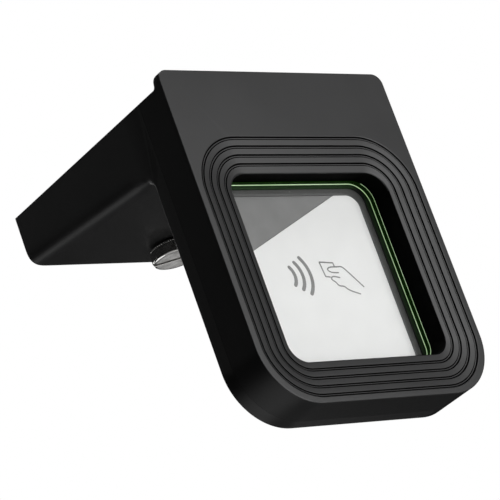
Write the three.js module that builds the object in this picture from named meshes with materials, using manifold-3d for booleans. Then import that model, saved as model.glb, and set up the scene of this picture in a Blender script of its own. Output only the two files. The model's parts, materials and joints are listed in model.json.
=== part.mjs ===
// Contactless card and code reader: a flat reader head on an arm that a thumb screw clamps under a host device.
// Millimetres, +Z up, the reading face looks along -Y, X is the width. The origin is the middle of the arm's
// flat top, which the host rests on.
import * as THREE from 'three';
import { mergeVertices } from 'three/addons/utils/BufferGeometryUtils.js';
import Module from 'manifold-3d';

const wasm = await Module();
wasm.setup();

// ---- Driving dimensions ----
const WIDTH = 88;
const HALF_WIDTH = WIDTH / 2;
const GAP = 0.3; // running gap between neighbouring pieces

// Head: depths are measured back from the face.
const FACE_Y = -43;
const LIP_HEIGHT = 4.8; // the face plate stands this far above the arm's top
const LIP_DEPTH = 4;
const HEAD_BOTTOM = -102.9;
const FRONT_DEPTH = 12;
const HEAD_DEPTH = 17;
const HEAD_TOP_RADIUS = 3.5;
const HEAD_BOTTOM_RADIUS = 19.5;
const EDGE_RADIUS = 0.6;
const SEAM_CHAMFER = 0.3;
const WALL = 2;
const FACE_THICKNESS = 3.2;

// Dished bezel: insets are measured in from the sides and bottom of the face.
const DISH_START = 2;
const DISH_SLOPE = 0.11;
const FIRST_GROOVE = 2.22;
const GROOVE_PITCH = 2.78;
const GROOVE_COUNT = 4;
const GROOVE_WIDTH = 0.5;
const GROOVE_STEP = 0.7; // from the first to the second channel of a pair
const GROOVE_DEPTH = 0.5;
const WINDOW_INSET = 13.35;
const TOP_EXTRA = 19.7; // the bezel sits this much further from the head's top than from its sides
const RIM_INSET = 13.45; // front edge of the window recess, which widens a little towards the glass
const RIM_TOP_EXTRA = 20.3;
const WINDOW_TOP_EXTRA = 19.35;
const RIM_ROUNDING = { side: 0.3, top: 1.1, depth: 0.6 };
const BEZEL_TOP_RADIUS = 20.3; // at zero inset, so that every ring shares its corner centres

// Window stack, front to back.
const GLASS_DEPTH = 7.8;
const GLASS_THICKNESS = 2;
const GLASS_CHAMFER = 0.2;
const GLASS_CLEARANCE = 0.25; // between the glass and the recess's walls
const TUBE_WALL = 1.6;
const TUBE_END = 10.6;
const STACK_DEPTH = 10.1;
const STACK_THICKNESS = 1;
const BOARD_DEPTH = 12;
const BOARD_THICKNESS = 1;

// Arm
const ARM_REAR_Y = 39;
const ARM_REAR_UNDERSIDE = -16.4;
const ARM_FRONT_UNDERSIDE = -22.4;
const ARM_CORNER_RADIUS = 7;
const ARM_CORNER_POWER = 3.5; // 2 is a round corner, more is squarer
const ARM_FILLET = 4.6;
const ARM_WALL = 2.2;
const COVER_THICKNESS = 2;
const COVER_REAR_Y = 36.5;
const PEG_SPACING = 50;
const PEG_RADIUS = 2.5;
const PEG_HEIGHT = 2.5;

// Thumb screw
const SCREW_Y = 23.6;
const SHANK_RADIUS = 2;
const SHANK_TOP = 6;
const KNOB_RADIUS = 7.7;
const KNOB_BOTTOM = -23.2;
const KNOB_TOP = -18.8;
const KNOB_CHAMFER = 0.6;
const KNURL_TEETH = 40;
const KNURL_DEPTH = 0.45;
const SLOT_WIDTH = 1.8;
const SLOT_DEPTH = 1.3;
const SLOT_ANGLE = -35;
const WASHER_RADIUS = 5;
const WASHER_THICKNESS = 0.5;
const SPOT_FACE = -17.8; // level seat cut into the sloping underside around the screw
const BUSH_BORE = 2.4; // radius of the hole that the shank slides in
const BUSH_RADIUS = 3.9;
const BUSH_TOP = -9.7;
const BUSH_BOTTOM = -17.2;
const GUIDE_RADIUS = 6.4; // post that holds the bush
const RING_SEAT = -3.8; // bottom of the neck that the retaining ring sits in
const RING_SEAT_HEIGHT = 1;
const RING_SEAT_RADIUS = 1.6;

const CORNER_STEPS = 8; // straight steps in each rounded corner

// ---- Materials ----
const blackPlastic = { color: 0x1d1d1e, roughness: 0.55, metalness: 0 };
const faceplatePlastic = { color: 0x242426, roughness: 0.5, metalness: 0 };
const whitePanel = { color: 0xe7e7e7, roughness: 0.6, metalness: 0 };
const greyPanel = { color: 0x7d7d7d, roughness: 0.5, metalness: 0 };
const darkDiffuser = { color: 0x58595a, roughness: 0.5, metalness: 0 };
const greenGlass = { color: 0xbcd8b0, roughness: 0.05, metalness: 0, transparent: true, opacity: 0.35 };
const lensGlass = { color: 0x20242c, roughness: 0.08, metalness: 0 };
const blackRubber = { color: 0x101010, roughness: 0.9, metalness: 0 };
const circuitBoard = { color: 0x1f5a36, roughness: 0.6, metalness: 0 };
const steel = { color: 0xd8d8d8, roughness: 0.25, metalness: 1 };
const blackSteel = { color: 0x2b2b2d, roughness: 0.4, metalness: 1 };
const tinPlate = { color: 0xb9bbbd, roughness: 0.35, metalness: 1 };
const brass = { color: 0xc2a14f, roughness: 0.35, metalness: 1 };
const ledPackage = { color: 0xf2f0dc, roughness: 0.4, metalness: 0 };
const paperLabel = { color: 0xdcdcd8, roughness: 0.7, metalness: 0 };
const nylon = { color: 0xe8e6df, roughness: 0.5, metalness: 0 };

const reader = new THREE.Group();

// ---- Solids ----
function toSolid(geometry) {
  const bare = geometry.clone();
  bare.deleteAttribute('normal');
  bare.deleteAttribute('uv');
  const merged = mergeVertices(bare, 1e-4);
  const corners = merged.index.array;
  const kept = [];
  for (let i = 0; i < corners.length; i += 3) {
    const [a, b, c] = corners.slice(i, i + 3);
    if (a !== b && b !== c && c !== a) kept.push(a, b, c);
  }
  return new wasm.Manifold(new wasm.Mesh({
    numProp: 3,
    vertProperties: Float32Array.from(merged.attributes.position.array),
    triVerts: Uint32Array.from(kept),
  }));
}

function toGeometry(solid) {
  const mesh = solid.getMesh();
  const geometry = new THREE.BufferGeometry();
  geometry.setAttribute('position', new THREE.BufferAttribute(mesh.vertProperties, mesh.numProp));
  geometry.setIndex(new THREE.BufferAttribute(mesh.triVerts, 1));
  geometry.computeVertexNormals();
  return geometry;
}

function addPiece(name, solid, look) {
  const mesh = new THREE.Mesh(toGeometry(solid), new THREE.MeshStandardMaterial(look));
  mesh.name = name;
  reader.add(mesh);
}

function subtractAll(solid, cutters) {
  return cutters.reduce((rest, cutter) => rest.subtract(cutter), solid);
}

function joinAll(solids) {
  return solids.reduce((joined, solid) => joined.add(solid));
}

// A closed solid through rings of points, each ring a convex outline with the same number of points. The rings
// follow each other so that every outline runs anticlockwise when seen from the last ring.
function loft(rings) {
  const count = rings[0].length;
  const positions = rings.flat(2);
  const faces = [];
  for (let ring = 0; ring + 1 < rings.length; ring += 1) {
    for (let i = 0; i < count; i += 1) {
      const here = ring * count + i;
      const next = ring * count + ((i + 1) % count);
      faces.push(here, next, next + count, here, next + count, here + count);
    }
  }
  const last = (rings.length - 1) * count;
  for (let i = 1; i + 1 < count; i += 1) {
    faces.push(0, i + 1, i);
    faces.push(last, last + i, last + i + 1);
  }
  const geometry = new THREE.BufferGeometry();
  geometry.setAttribute('position', new THREE.Float32BufferAttribute(positions, 3));
  geometry.setIndex(faces);
  return toSolid(geometry);
}

function box([x0, x1], [y0, y1], [z0, z1]) {
  const geometry = new THREE.BoxGeometry(x1 - x0, y1 - y0, z1 - z0);
  geometry.translate((x0 + x1) / 2, (y0 + y1) / 2, (z0 + z1) / 2);
  return toSolid(geometry);
}

function discAlongY(radius, [y0, y1], [x, z], segments = 24) {
  const geometry = new THREE.CylinderGeometry(radius, radius, y1 - y0, segments);
  geometry.translate(x, (y0 + y1) / 2, z);
  return toSolid(geometry);
}

function discAlongZ(radius, [z0, z1], [x, y], segments = 24) {
  const geometry = new THREE.CylinderGeometry(radius, radius, z1 - z0, segments);
  geometry.rotateX(Math.PI / 2);
  geometry.translate(x, y, (z0 + z1) / 2);
  return toSolid(geometry);
}

// Turns a profile of [radius, z] points about a vertical axis through (x, y).
function turned(profile, [x, y], segments = 32) {
  const points = profile.map(([radius, z]) => new THREE.Vector2(radius, z));
  const geometry = new THREE.LatheGeometry(points, segments);
  geometry.rotateX(Math.PI / 2);
  geometry.translate(x, y, 0);
  return toSolid(geometry);
}

// A plate across the width and height, between two depths, from an outline of [x, z] points.
function plate(outline, [y0, y1]) {
  const shape = new THREE.Shape(outline.map(([x, z]) => new THREE.Vector2(x, z)));
  const geometry = new THREE.ExtrudeGeometry(shape, { depth: y1 - y0, bevelEnabled: false });
  geometry.rotateX(Math.PI / 2);
  geometry.translate(0, y1, 0);
  return toSolid(geometry);
}

// ---- Outlines ----
// An arc about a centre. A power above 2 swells it into a squarer, softer corner with the same ends.
function arc([x, z], radius, fromDegrees, toDegrees, power = 2) {
  const swell = (part) => Math.sign(part) * Math.abs(part) ** (2 / power);
  const points = [];
  for (let i = 0; i <= CORNER_STEPS; i += 1) {
    const angle = THREE.MathUtils.degToRad(THREE.MathUtils.lerp(fromDegrees, toDegrees, i / CORNER_STEPS));
    points.push([x + radius * swell(Math.cos(angle)), z + radius * swell(Math.sin(angle))]);
  }
  return points;
}

function roundedOutline({ half, top, bottom, topRadius, bottomRadius, bottomPower = 2 }) {
  return [
    ...arc([half - topRadius, top - topRadius], topRadius, 0, 90),
    ...arc([-half + topRadius, top - topRadius], topRadius, 90, 180),
    ...arc([-half + bottomRadius, bottom + bottomRadius], bottomRadius, 180, 270, bottomPower),
    ...arc([half - bottomRadius, bottom + bottomRadius], bottomRadius, 270, 360, bottomPower),
  ];
}

// Lays an [x, z] outline across the part at one y, turned so that lofts can run towards +Y.
function acrossPart(outline, y) {
  return outline.map(([x, z]) => [x, y, z]).reverse();
}

function atDepth(outline, depth) {
  return acrossPart(outline, FACE_Y + depth);
}

function headOutline(inset) {
  return roundedOutline({
    half: HALF_WIDTH - inset,
    top: LIP_HEIGHT - inset,
    bottom: HEAD_BOTTOM + inset,
    topRadius: Math.max(HEAD_TOP_RADIUS - inset, 0.5),
    bottomRadius: HEAD_BOTTOM_RADIUS - inset,
  });
}

function bezelOutline(inset, topExtra = TOP_EXTRA) {
  return roundedOutline({
    half: HALF_WIDTH - inset,
    top: LIP_HEIGHT - inset - topExtra,
    bottom: HEAD_BOTTOM + inset,
    topRadius: BEZEL_TOP_RADIUS - inset,
    bottomRadius: HEAD_BOTTOM_RADIUS - inset,
  });
}

function windowOutline(inset) {
  return roundedOutline({
    half: HALF_WIDTH - WINDOW_INSET - inset,
    top: LIP_HEIGHT - WINDOW_INSET - WINDOW_TOP_EXTRA - inset,
    bottom: HEAD_BOTTOM + WINDOW_INSET + inset,
    topRadius: BEZEL_TOP_RADIUS - WINDOW_INSET - inset,
    bottomRadius: HEAD_BOTTOM_RADIUS - WINDOW_INSET - inset,
  });
}

function depths(from, to) {
  return [FACE_Y + from, FACE_Y + to];
}

// ---- Fastener places ----
const caseScrews = [[-37.4, -30.2], [37.4, -30.2], [-33.7, -92.5], [33.7, -92.5]];
const CASE_BOSS_RADIUS = 3.2;
const CASE_SCREW_SEAT = 14.8; // depth of the screw heads' seats in the back
const coverScrews = [[-37, -16], [37, -16], [-37, 31], [37, 31]];
const COVER_POST_RADIUS = 3.2;
const COVER_SCREW_SEAT = -1.3;
const boardScrews = [[-27, -14], [27, -14], [-27, 29.5], [27, 29.5]];
const BOARD_POST_RADIUS = 2.4;
const POST_FOOT = -21; // inside the arm's floor
const THREAD_RADIUS = 1.2;
const PILOT_RADIUS = 1.45;
const HEAD_RADIUS = 2.3;

// ---- Head, front ----
function bezelCutter() {
  const dishDepth = (inset) => DISH_SLOPE * (inset - DISH_START);
  const rings = [atDepth(bezelOutline(DISH_START - 1), -1), atDepth(bezelOutline(DISH_START), 0)];
  for (let groove = 0; groove < GROOVE_COUNT; groove += 1) {
    for (const start of [0, GROOVE_STEP]) {
      const inset = FIRST_GROOVE + groove * GROOVE_PITCH + start;
      rings.push(atDepth(bezelOutline(inset), dishDepth(inset)));
      rings.push(atDepth(bezelOutline(inset + GROOVE_WIDTH / 2), dishDepth(inset) + GROOVE_DEPTH));
      rings.push(atDepth(bezelOutline(inset + GROOVE_WIDTH), dishDepth(inset + GROOVE_WIDTH)));
    }
  }
  for (const degrees of [0, 30, 60, 90]) {
    const angle = THREE.MathUtils.degToRad(degrees);
    const back = 1 - Math.sin(angle);
    const inset = RIM_INSET - RIM_ROUNDING.side * back;
    const topExtra = RIM_TOP_EXTRA - (RIM_ROUNDING.top - RIM_ROUNDING.side) * back;
    const depth = dishDepth(RIM_INSET) + RIM_ROUNDING.depth * (1 - Math.cos(angle));
    rings.push(atDepth(bezelOutline(inset, topExtra), depth));
  }
  const windowHole = bezelOutline(WINDOW_INSET, WINDOW_TOP_EXTRA);
  rings.push(atDepth(windowHole, GLASS_DEPTH - GAP));
  rings.push(atDepth(windowHole, FRONT_DEPTH + 1));
  return loft(rings);
}

function frontHousing() {
  const outside = loft([
    atDepth(headOutline(EDGE_RADIUS), 0),
    atDepth(headOutline(EDGE_RADIUS * 0.3), EDGE_RADIUS * 0.3),
    atDepth(headOutline(0), EDGE_RADIUS),
    atDepth(headOutline(0), FRONT_DEPTH - SEAM_CHAMFER),
    atDepth(headOutline(SEAM_CHAMFER), FRONT_DEPTH),
  ]);
  const aboveArm = box([-WIDTH, WIDTH], depths(LIP_DEPTH, FRONT_DEPTH + 1), [0, LIP_HEIGHT + 1]);
  const tube = loft([
    atDepth(windowOutline(-TUBE_WALL), FACE_THICKNESS - 1),
    atDepth(windowOutline(-TUBE_WALL), TUBE_END),
  ]);
  const bosses = caseScrews.map((place) => (
    discAlongY(CASE_BOSS_RADIUS, depths(FACE_THICKNESS - 1, FRONT_DEPTH - 0.1), place)));
  const hollowOutline = roundedOutline({
    half: HALF_WIDTH - WALL,
    top: -WALL,
    bottom: HEAD_BOTTOM + WALL,
    topRadius: 1,
    bottomRadius: HEAD_BOTTOM_RADIUS - WALL,
  });
  const hollow = subtractAll(
    loft([atDepth(hollowOutline, FACE_THICKNESS), atDepth(hollowOutline, FRONT_DEPTH + 1)]),
    [tube, ...bosses],
  );
  const pilots = caseScrews.map((place) => discAlongY(PILOT_RADIUS, depths(5, FRONT_DEPTH + 1), place, 16));
  return subtractAll(outside, [aboveArm, hollow, bezelCutter(), ...pilots]);
}

// ---- Head, rear, with the arm ----
const BOARD_TOP = -10;
const mainBoard = { thickness: 1.6, half: 32, front: -19, rear: 34 };
const boardUnderside = BOARD_TOP - mainBoard.thickness;
const ratingRecess = { half: 21, top: -40, bottom: -64, depth: 0.6 };
const socketPlace = { x: 18, z: -8.1, width: 9, height: 3.2, length: 7.5, rear: ARM_REAR_Y - 0.4 };

function underside(y) {
  const alongArm = (y - (FACE_Y + HEAD_DEPTH)) / (ARM_REAR_Y - (FACE_Y + HEAD_DEPTH));
  return THREE.MathUtils.lerp(ARM_FRONT_UNDERSIDE, ARM_REAR_UNDERSIDE, alongArm);
}

function armRing(y, inset, drop = 0) {
  const outline = roundedOutline({
    half: HALF_WIDTH - inset,
    top: LIP_HEIGHT,
    bottom: underside(y) + inset - drop,
    topRadius: 0.5,
    bottomRadius: ARM_CORNER_RADIUS - inset,
    bottomPower: ARM_CORNER_POWER,
  });
  return acrossPart(outline, y);
}

function armOutside() {
  const rings = [armRing(FACE_Y + FRONT_DEPTH + 2 * GAP, 0)];
  const headBack = FACE_Y + HEAD_DEPTH;
  rings.push(armRing(headBack - 1, 0, ARM_FILLET));
  for (const degrees of [0, 15, 30, 45, 60, 75, 90]) {
    const angle = THREE.MathUtils.degToRad(degrees);
    const out = ARM_FILLET * (1 - Math.cos(angle));
    rings.push(armRing(headBack + out, 0, ARM_FILLET * (1 - Math.sin(angle))));
  }
  rings.push(armRing(ARM_REAR_Y - EDGE_RADIUS, 0));
  rings.push(armRing(ARM_REAR_Y - EDGE_RADIUS * 0.3, EDGE_RADIUS * 0.3));
  rings.push(armRing(ARM_REAR_Y, EDGE_RADIUS));
  return loft(rings);
}

function rearShell() {
  const front = FRONT_DEPTH + GAP;
  const headBack = loft([
    atDepth(headOutline(SEAM_CHAMFER), front),
    atDepth(headOutline(0), front + SEAM_CHAMFER),
    atDepth(headOutline(0), HEAD_DEPTH - EDGE_RADIUS),
    atDepth(headOutline(EDGE_RADIUS * 0.3), HEAD_DEPTH - EDGE_RADIUS * 0.3),
    atDepth(headOutline(EDGE_RADIUS), HEAD_DEPTH),
  ]);
  const aboveArm = box([-WIDTH, WIDTH], [FACE_Y, ARM_REAR_Y + 1], [0, LIP_HEIGHT + 2]);
  const hollowOutline = headOutline(WALL);
  const posts = caseScrews.map((place) => (
    discAlongY(CASE_BOSS_RADIUS + 0.2, depths(front, HEAD_DEPTH - 1), place)));
  const headHollow = subtractAll(
    loft([atDepth(hollowOutline, FRONT_DEPTH), atDepth(hollowOutline, HEAD_DEPTH - WALL)]),
    posts,
  );
  const armHollow = loft([
    armRing(FACE_Y + FRONT_DEPTH, ARM_WALL),
    armRing(ARM_REAR_Y - ARM_WALL, ARM_WALL),
  ]);
  const floorPosts = [
    ...coverScrews.map((place) => discAlongZ(COVER_POST_RADIUS, [POST_FOOT, -COVER_THICKNESS - GAP], place)),
    ...boardScrews.map((place) => discAlongZ(BOARD_POST_RADIUS, [POST_FOOT, boardUnderside - GAP], place, 16)),
    discAlongZ(GUIDE_RADIUS, [POST_FOOT + 1, BOARD_TOP], [0, SCREW_Y]),
  ].map((post) => post.intersect(armOutside()));
  const holes = [
    ...caseScrews.map((place) => discAlongY(PILOT_RADIUS, depths(FRONT_DEPTH - 1, HEAD_DEPTH + 1), place, 16)),
    ...caseScrews.map((place) => discAlongY(HEAD_RADIUS + GAP, depths(CASE_SCREW_SEAT, HEAD_DEPTH + 1), place)),
    ...coverScrews.map((place) => discAlongZ(PILOT_RADIUS, [-13, 0], place, 16)),
    ...boardScrews.map((place) => discAlongZ(PILOT_RADIUS, [-14, -11], place, 16)),
    discAlongZ(BUSH_RADIUS + GAP, [ARM_FRONT_UNDERSIDE, BOARD_TOP + 1], [0, SCREW_Y]),
    discAlongZ(WASHER_RADIUS + 2 * GAP, [ARM_FRONT_UNDERSIDE, SPOT_FACE], [0, SCREW_Y], 32),
  ];
  const { half, top, bottom, depth } = ratingRecess;
  const recess = box([-half, half], depths(HEAD_DEPTH - depth, HEAD_DEPTH + 1), [bottom, top]);
  const socketHole = socketOutline(GAP, [ARM_REAR_Y - 5, ARM_REAR_Y + 1]);
  const shell = subtractAll(headBack.add(armOutside()), [aboveArm, headHollow, armHollow]);
  return subtractAll(joinAll([shell, ...floorPosts]), [...holes, recess, socketHole]);
}

// A stadium-shaped bar along Y, the size of the socket's mouth.
function socketOutline(grow, [y0, y1]) {
  const half = socketPlace.width / 2 + grow;
  const tall = socketPlace.height / 2 + grow;
  const outline = [...arc([half - tall, 0], tall, -90, 90), ...arc([-half + tall, 0], tall, 90, 270)];
  return plate(outline.map(([x, z]) => [x + socketPlace.x, z + socketPlace.z]), [y0, y1]);
}

function armCover() {
  const side = HALF_WIDTH - ARM_WALL - GAP;
  const slab = box([-side, side], [FACE_Y + FRONT_DEPTH + GAP, COVER_REAR_Y], [-COVER_THICKNESS, 0]);
  const holes = [
    ...coverScrews.map((place) => discAlongZ(PILOT_RADIUS, [-3, 1], place, 16)),
    ...coverScrews.map((place) => discAlongZ(HEAD_RADIUS + GAP, [COVER_SCREW_SEAT, 1], place)),
    discAlongZ(SHANK_RADIUS + 0.4, [-3, 1], [0, SCREW_Y]),
  ];
  const tip = 0.5;
  const pegProfile = [
    [0, -1],
    [PEG_RADIUS, -1],
    [PEG_RADIUS, PEG_HEIGHT - tip],
    [PEG_RADIUS - tip, PEG_HEIGHT],
    [0, PEG_HEIGHT],
  ];
  const pegs = [-PEG_SPACING / 2, PEG_SPACING / 2].map((x) => turned(pegProfile, [x, SCREW_Y], 24));
  return joinAll([subtractAll(slab, holes), ...pegs]);
}

// ---- Window stack ----
const frameOuter = roundedOutline({ half: 28.2, top: -29.6, bottom: -88.6, topRadius: 5, bottomRadius: 3.5 });
const frameInner = roundedOutline({ half: 25.75, top: -31.7, bottom: -87, topRadius: 4.2, bottomRadius: 2 });
const gasketOpening = roundedOutline({ half: 28.4, top: -29.4, bottom: -88.8, topRadius: 5, bottomRadius: 3.5 });
const stack = depths(STACK_DEPTH, STACK_DEPTH + STACK_THICKNESS);

function windowGlass() {
  const full = windowOutline(GLASS_CLEARANCE);
  const chamfered = windowOutline(GLASS_CLEARANCE + GLASS_CHAMFER);
  const end = GLASS_DEPTH + GLASS_THICKNESS;
  return loft([
    atDepth(chamfered, GLASS_DEPTH),
    atDepth(full, GLASS_DEPTH + GLASS_CHAMFER),
    atDepth(full, end - GLASS_CHAMFER),
    atDepth(chamfered, end),
  ]);
}

function glassGasket() {
  const [front, back] = depths(STACK_DEPTH, BOARD_DEPTH - GAP);
  const tape = plate(windowOutline(GLASS_CLEARANCE), [front, back]);
  return tape.subtract(plate(gasketOpening, [front - 1, back + 1]));
}

function lightFrame() {
  const [front, back] = stack;
  return plate(frameOuter, stack).subtract(plate(frameInner, [front - 1, back + 1]));
}

// The panel and the scan window share the light frame's opening, split by one slanted line.
const panel = { half: 25.6, top: -31.85, bottom: -86.8, topRadius: 4.1, bottomRadius: 1.8 };
const slantHigh = [16.9, -31.65];
const slantLow = [-25.35, -50.9];

function panelHalf(shiftZ, above) {
  const rise = (slantHigh[1] - slantLow[1]) / (slantHigh[0] - slantLow[0]);
  const lineAt = (x) => slantLow[1] + shiftZ + rise * (x - slantLow[0]);
  const far = above ? 0 : HEAD_BOTTOM;
  const ends = [-HALF_WIDTH, HALF_WIDTH].map((x) => [x, lineAt(x)]);
  const outline = [ends[0], ends[1], [HALF_WIDTH, far], [-HALF_WIDTH, far]];
  return plate(above ? outline : outline.reverse(), depths(STACK_DEPTH - 1, STACK_DEPTH + 3));
}

function labelPanel() {
  return plate(roundedOutline(panel), stack).intersect(panelHalf(-GAP / 2, false));
}

function scanWindow() {
  return plate(roundedOutline(panel), stack).intersect(panelHalf(GAP / 2, true));
}

// ---- Reader electronics in the head ----
const imagerPlace = [-14, -39.5];
const IMAGER_HALF = 4.3;
const BARREL_RADIUS = 3.2;
const BARREL_BORE = 2.4;
const headBoard = { half: 33, top: -8, bottom: -90, topRadius: 2, bottomRadius: 8 };

function antennaBoard() {
  const [front, back] = depths(BOARD_DEPTH, BOARD_DEPTH + BOARD_THICKNESS);
  const [x, z] = imagerPlace;
  const reach = IMAGER_HALF + GAP;
  const opening = box([x - reach, x + reach], [front - 1, back + 1], [z - reach, z + reach]);
  return plate(roundedOutline(headBoard), [front, back]).subtract(opening);
}

function imagerHousing() {
  const [x, z] = imagerPlace;
  const sides = [-IMAGER_HALF, IMAGER_HALF];
  const body = box(sides.map((side) => x + side), depths(11.8, 14.6), sides.map((side) => z + side));
  const barrel = discAlongY(BARREL_RADIUS, depths(11.4, 12), imagerPlace);
  return body.add(barrel).subtract(discAlongY(BARREL_BORE, depths(11, 12.8), imagerPlace));
}

function imagerLens() {
  return discAlongY(BARREL_BORE - GAP, depths(11.6, 12.5), imagerPlace, 32);
}

const scanLights = { size: 2.8, places: [[-21.5, -38], [-6, -36.5]] };
const statusLights = { size: 1.4, places: [[-26.7, -58], [26.7, -58], [0, -30.9], [0, -86]] };

function ledAt([x, z], size) {
  return box([x - size / 2, x + size / 2], depths(11.3, 11.7), [z - size / 2, z + size / 2]);
}

// ---- Electronics in the arm ----
const aboveBoard = BOARD_TOP + GAP;
const can = { x: [-26, -4], y: [-10, 10], height: 2.4, wall: 0.5 };
const holder = { x: [5, 23], y: [-9, 7], height: 2.2, slot: [0.6, 1.6] };
const sounderPlace = { centre: [-21, 20], radius: 4.5, height: 4, hole: 0.8 };

function mainBoardSolid() {
  const { half, front, rear } = mainBoard;
  const through = [boardUnderside - 1, BOARD_TOP + 1];
  const slab = box([-half, half], [front, rear], [boardUnderside, BOARD_TOP]);
  const holes = boardScrews.map((place) => discAlongZ(PILOT_RADIUS, through, place, 16));
  return subtractAll(slab, [...holes, discAlongZ(GUIDE_RADIUS + 1, through, [0, SCREW_Y])]);
}

function shieldCan() {
  const { x, y, height, wall } = can;
  const inside = ([low, high]) => [low + wall, high - wall];
  const shell = box(x, y, [aboveBoard, aboveBoard + height]);
  return shell.subtract(box(inside(x), inside(y), [aboveBoard - 1, aboveBoard + height - wall]));
}

function chipSocket() {
  const { x, y, height, slot } = holder;
  const body = box(x, y, [aboveBoard, aboveBoard + height]);
  return body.subtract(box([x[0] + 1, x[1] - 1], [y[0] - 1, y[1] - 2], slot.map((z) => aboveBoard + z)));
}

function chipCard() {
  const { x, y, slot } = holder;
  const level = [aboveBoard + slot[0] + 0.2, aboveBoard + slot[1] - 0.2];
  return box([x[0] + 1.4, x[1] - 1.4], [y[0] - 0.5, y[1] - 2.4], level);
}

function sounder() {
  const { centre, radius, height, hole } = sounderPlace;
  const top = aboveBoard + height;
  return discAlongZ(radius, [aboveBoard, top], centre, 32).subtract(discAlongZ(hole, [top - 1, top + 1], centre, 12));
}

function usbSocket() {
  const { width, height, x, z, rear, length } = socketPlace;
  const inside = socketOutline(-0.35, [rear - length + 1, rear + 1]);
  const tongue = box(
    [x - width / 2 + 1.4, x + width / 2 - 1.4],
    [rear - length + 0.5, rear - 0.8],
    [z - 0.35, z + 0.35],
  );
  const shell = socketOutline(0, [rear - length, rear]).subtract(inside);
  return shell.add(tongue).intersect(box([x - width, x + width], [rear - length, rear], [z - height, z + height]));
}

// The flat ribbon runs forward from the arm's board and turns down behind the head's board.
function ribbonCable() {
  const thickness = 0.4;
  const bend = 2;
  const top = aboveBoard + 1.2;
  const down = FACE_Y + BOARD_DEPTH + BOARD_THICKNESS + 1.9;
  const foot = -19;
  const shape = new THREE.Shape();
  shape.moveTo(mainBoard.front + 3, top);
  shape.lineTo(down + bend, top);
  shape.absarc(down + bend, top - bend, bend, Math.PI / 2, Math.PI, false);
  shape.lineTo(down, foot);
  shape.lineTo(down + thickness, foot);
  shape.lineTo(down + thickness, top - bend);
  shape.absarc(down + bend, top - bend, bend - thickness, Math.PI, Math.PI / 2, true);
  shape.lineTo(mainBoard.front + 3, top - thickness);
  const width = 14;
  const geometry = new THREE.ExtrudeGeometry(shape, { depth: width, bevelEnabled: false, curveSegments: 6 });
  geometry.rotateY(Math.PI / 2);
  geometry.rotateX(Math.PI / 2);
  geometry.translate(-width / 2, 0, 0);
  return toSolid(geometry);
}

// ---- Fasteners ----
// A pan-head screw pointing down, with the top of its head at the origin.
function panHeadScrew(headHeight, length) {
  const profile = [
    [0, 0],
    [HEAD_RADIUS - 0.3, 0],
    [HEAD_RADIUS, -0.3],
    [HEAD_RADIUS, -headHeight],
    [THREAD_RADIUS, -headHeight],
    [THREAD_RADIUS, -length + 0.4],
    [THREAD_RADIUS - 0.4, -length],
    [0, -length],
  ].reverse();
  const recess = discAlongZ(1, [-headHeight * 0.6, 1], [0, 0], 6);
  return turned(profile, [0, 0], 16).subtract(recess);
}

function screwFromBack([x, z]) {
  const headHeight = 1.8;
  const screw = panHeadScrew(headHeight, 10.5).rotate([-90, 0, 0]);
  return screw.translate([x, FACE_Y + CASE_SCREW_SEAT + headHeight + 0.1, z]);
}

function screwFromTop([x, y], topZ, headHeight, length) {
  return panHeadScrew(headHeight, length).translate([x, y, topZ]);
}

// A plain ring about the thumb screw's axis.
function sleeve(inner, outer, low, high) {
  return turned([[inner, low], [outer, low], [outer, high], [inner, high], [inner, low]], [0, SCREW_Y]);
}

function screwBush() {
  return sleeve(BUSH_BORE, BUSH_RADIUS, BUSH_BOTTOM, BUSH_TOP);
}

function knobWasher() {
  const low = KNOB_TOP + 0.15;
  return sleeve(BUSH_BORE, WASHER_RADIUS, low, low + WASHER_THICKNESS);
}

function retainingRing() {
  const low = RING_SEAT + 0.2;
  return sleeve(RING_SEAT_RADIUS + GAP, 3.5, low, low + 0.6);
}

function knurledRing(radius, toothDepth, z) {
  const points = [];
  for (let i = 0; i < KNURL_TEETH * 2; i += 1) {
    const angle = (Math.PI * i) / KNURL_TEETH;
    const reach = radius - (i % 2) * toothDepth;
    points.push([reach * Math.cos(angle), SCREW_Y + reach * Math.sin(angle), z]);
  }
  return points;
}

function thumbScrew() {
  const knob = loft([
    knurledRing(KNOB_RADIUS - KNOB_CHAMFER, 0, KNOB_BOTTOM),
    knurledRing(KNOB_RADIUS, 0, KNOB_BOTTOM + KNOB_CHAMFER - 0.2),
    knurledRing(KNOB_RADIUS, KNURL_DEPTH, KNOB_BOTTOM + KNOB_CHAMFER),
    knurledRing(KNOB_RADIUS, KNURL_DEPTH, KNOB_TOP - KNOB_CHAMFER + 0.1),
    knurledRing(KNOB_RADIUS - KNOB_CHAMFER, 0, KNOB_TOP),
  ]);
  const tip = 0.6;
  const shank = turned([
    [0, KNOB_TOP - 1],
    [SHANK_RADIUS, KNOB_TOP - 1],
    [SHANK_RADIUS, RING_SEAT],
    [RING_SEAT_RADIUS, RING_SEAT],
    [RING_SEAT_RADIUS, RING_SEAT + RING_SEAT_HEIGHT],
    [SHANK_RADIUS, RING_SEAT + RING_SEAT_HEIGHT],
    [SHANK_RADIUS, SHANK_TOP - tip],
    [SHANK_RADIUS - tip, SHANK_TOP],
    [0, SHANK_TOP],
  ], [0, SCREW_Y], 24);
  const halfSlot = SLOT_WIDTH / 2;
  const slot = box([-WIDTH, WIDTH], [-halfSlot, halfSlot], [KNOB_BOTTOM - 1, KNOB_BOTTOM + SLOT_DEPTH]);
  return knob.add(shank).subtract(slot.rotate([0, 0, SLOT_ANGLE]).translate([0, SCREW_Y, 0]));
}

function ratingLabel() {
  const { half, top, bottom, depth } = ratingRecess;
  const recessFloor = HEAD_DEPTH - depth;
  return box([-half + GAP, half - GAP], depths(recessFloor + 0.2, HEAD_DEPTH - 0.1), [bottom + GAP, top - GAP]);
}

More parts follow.
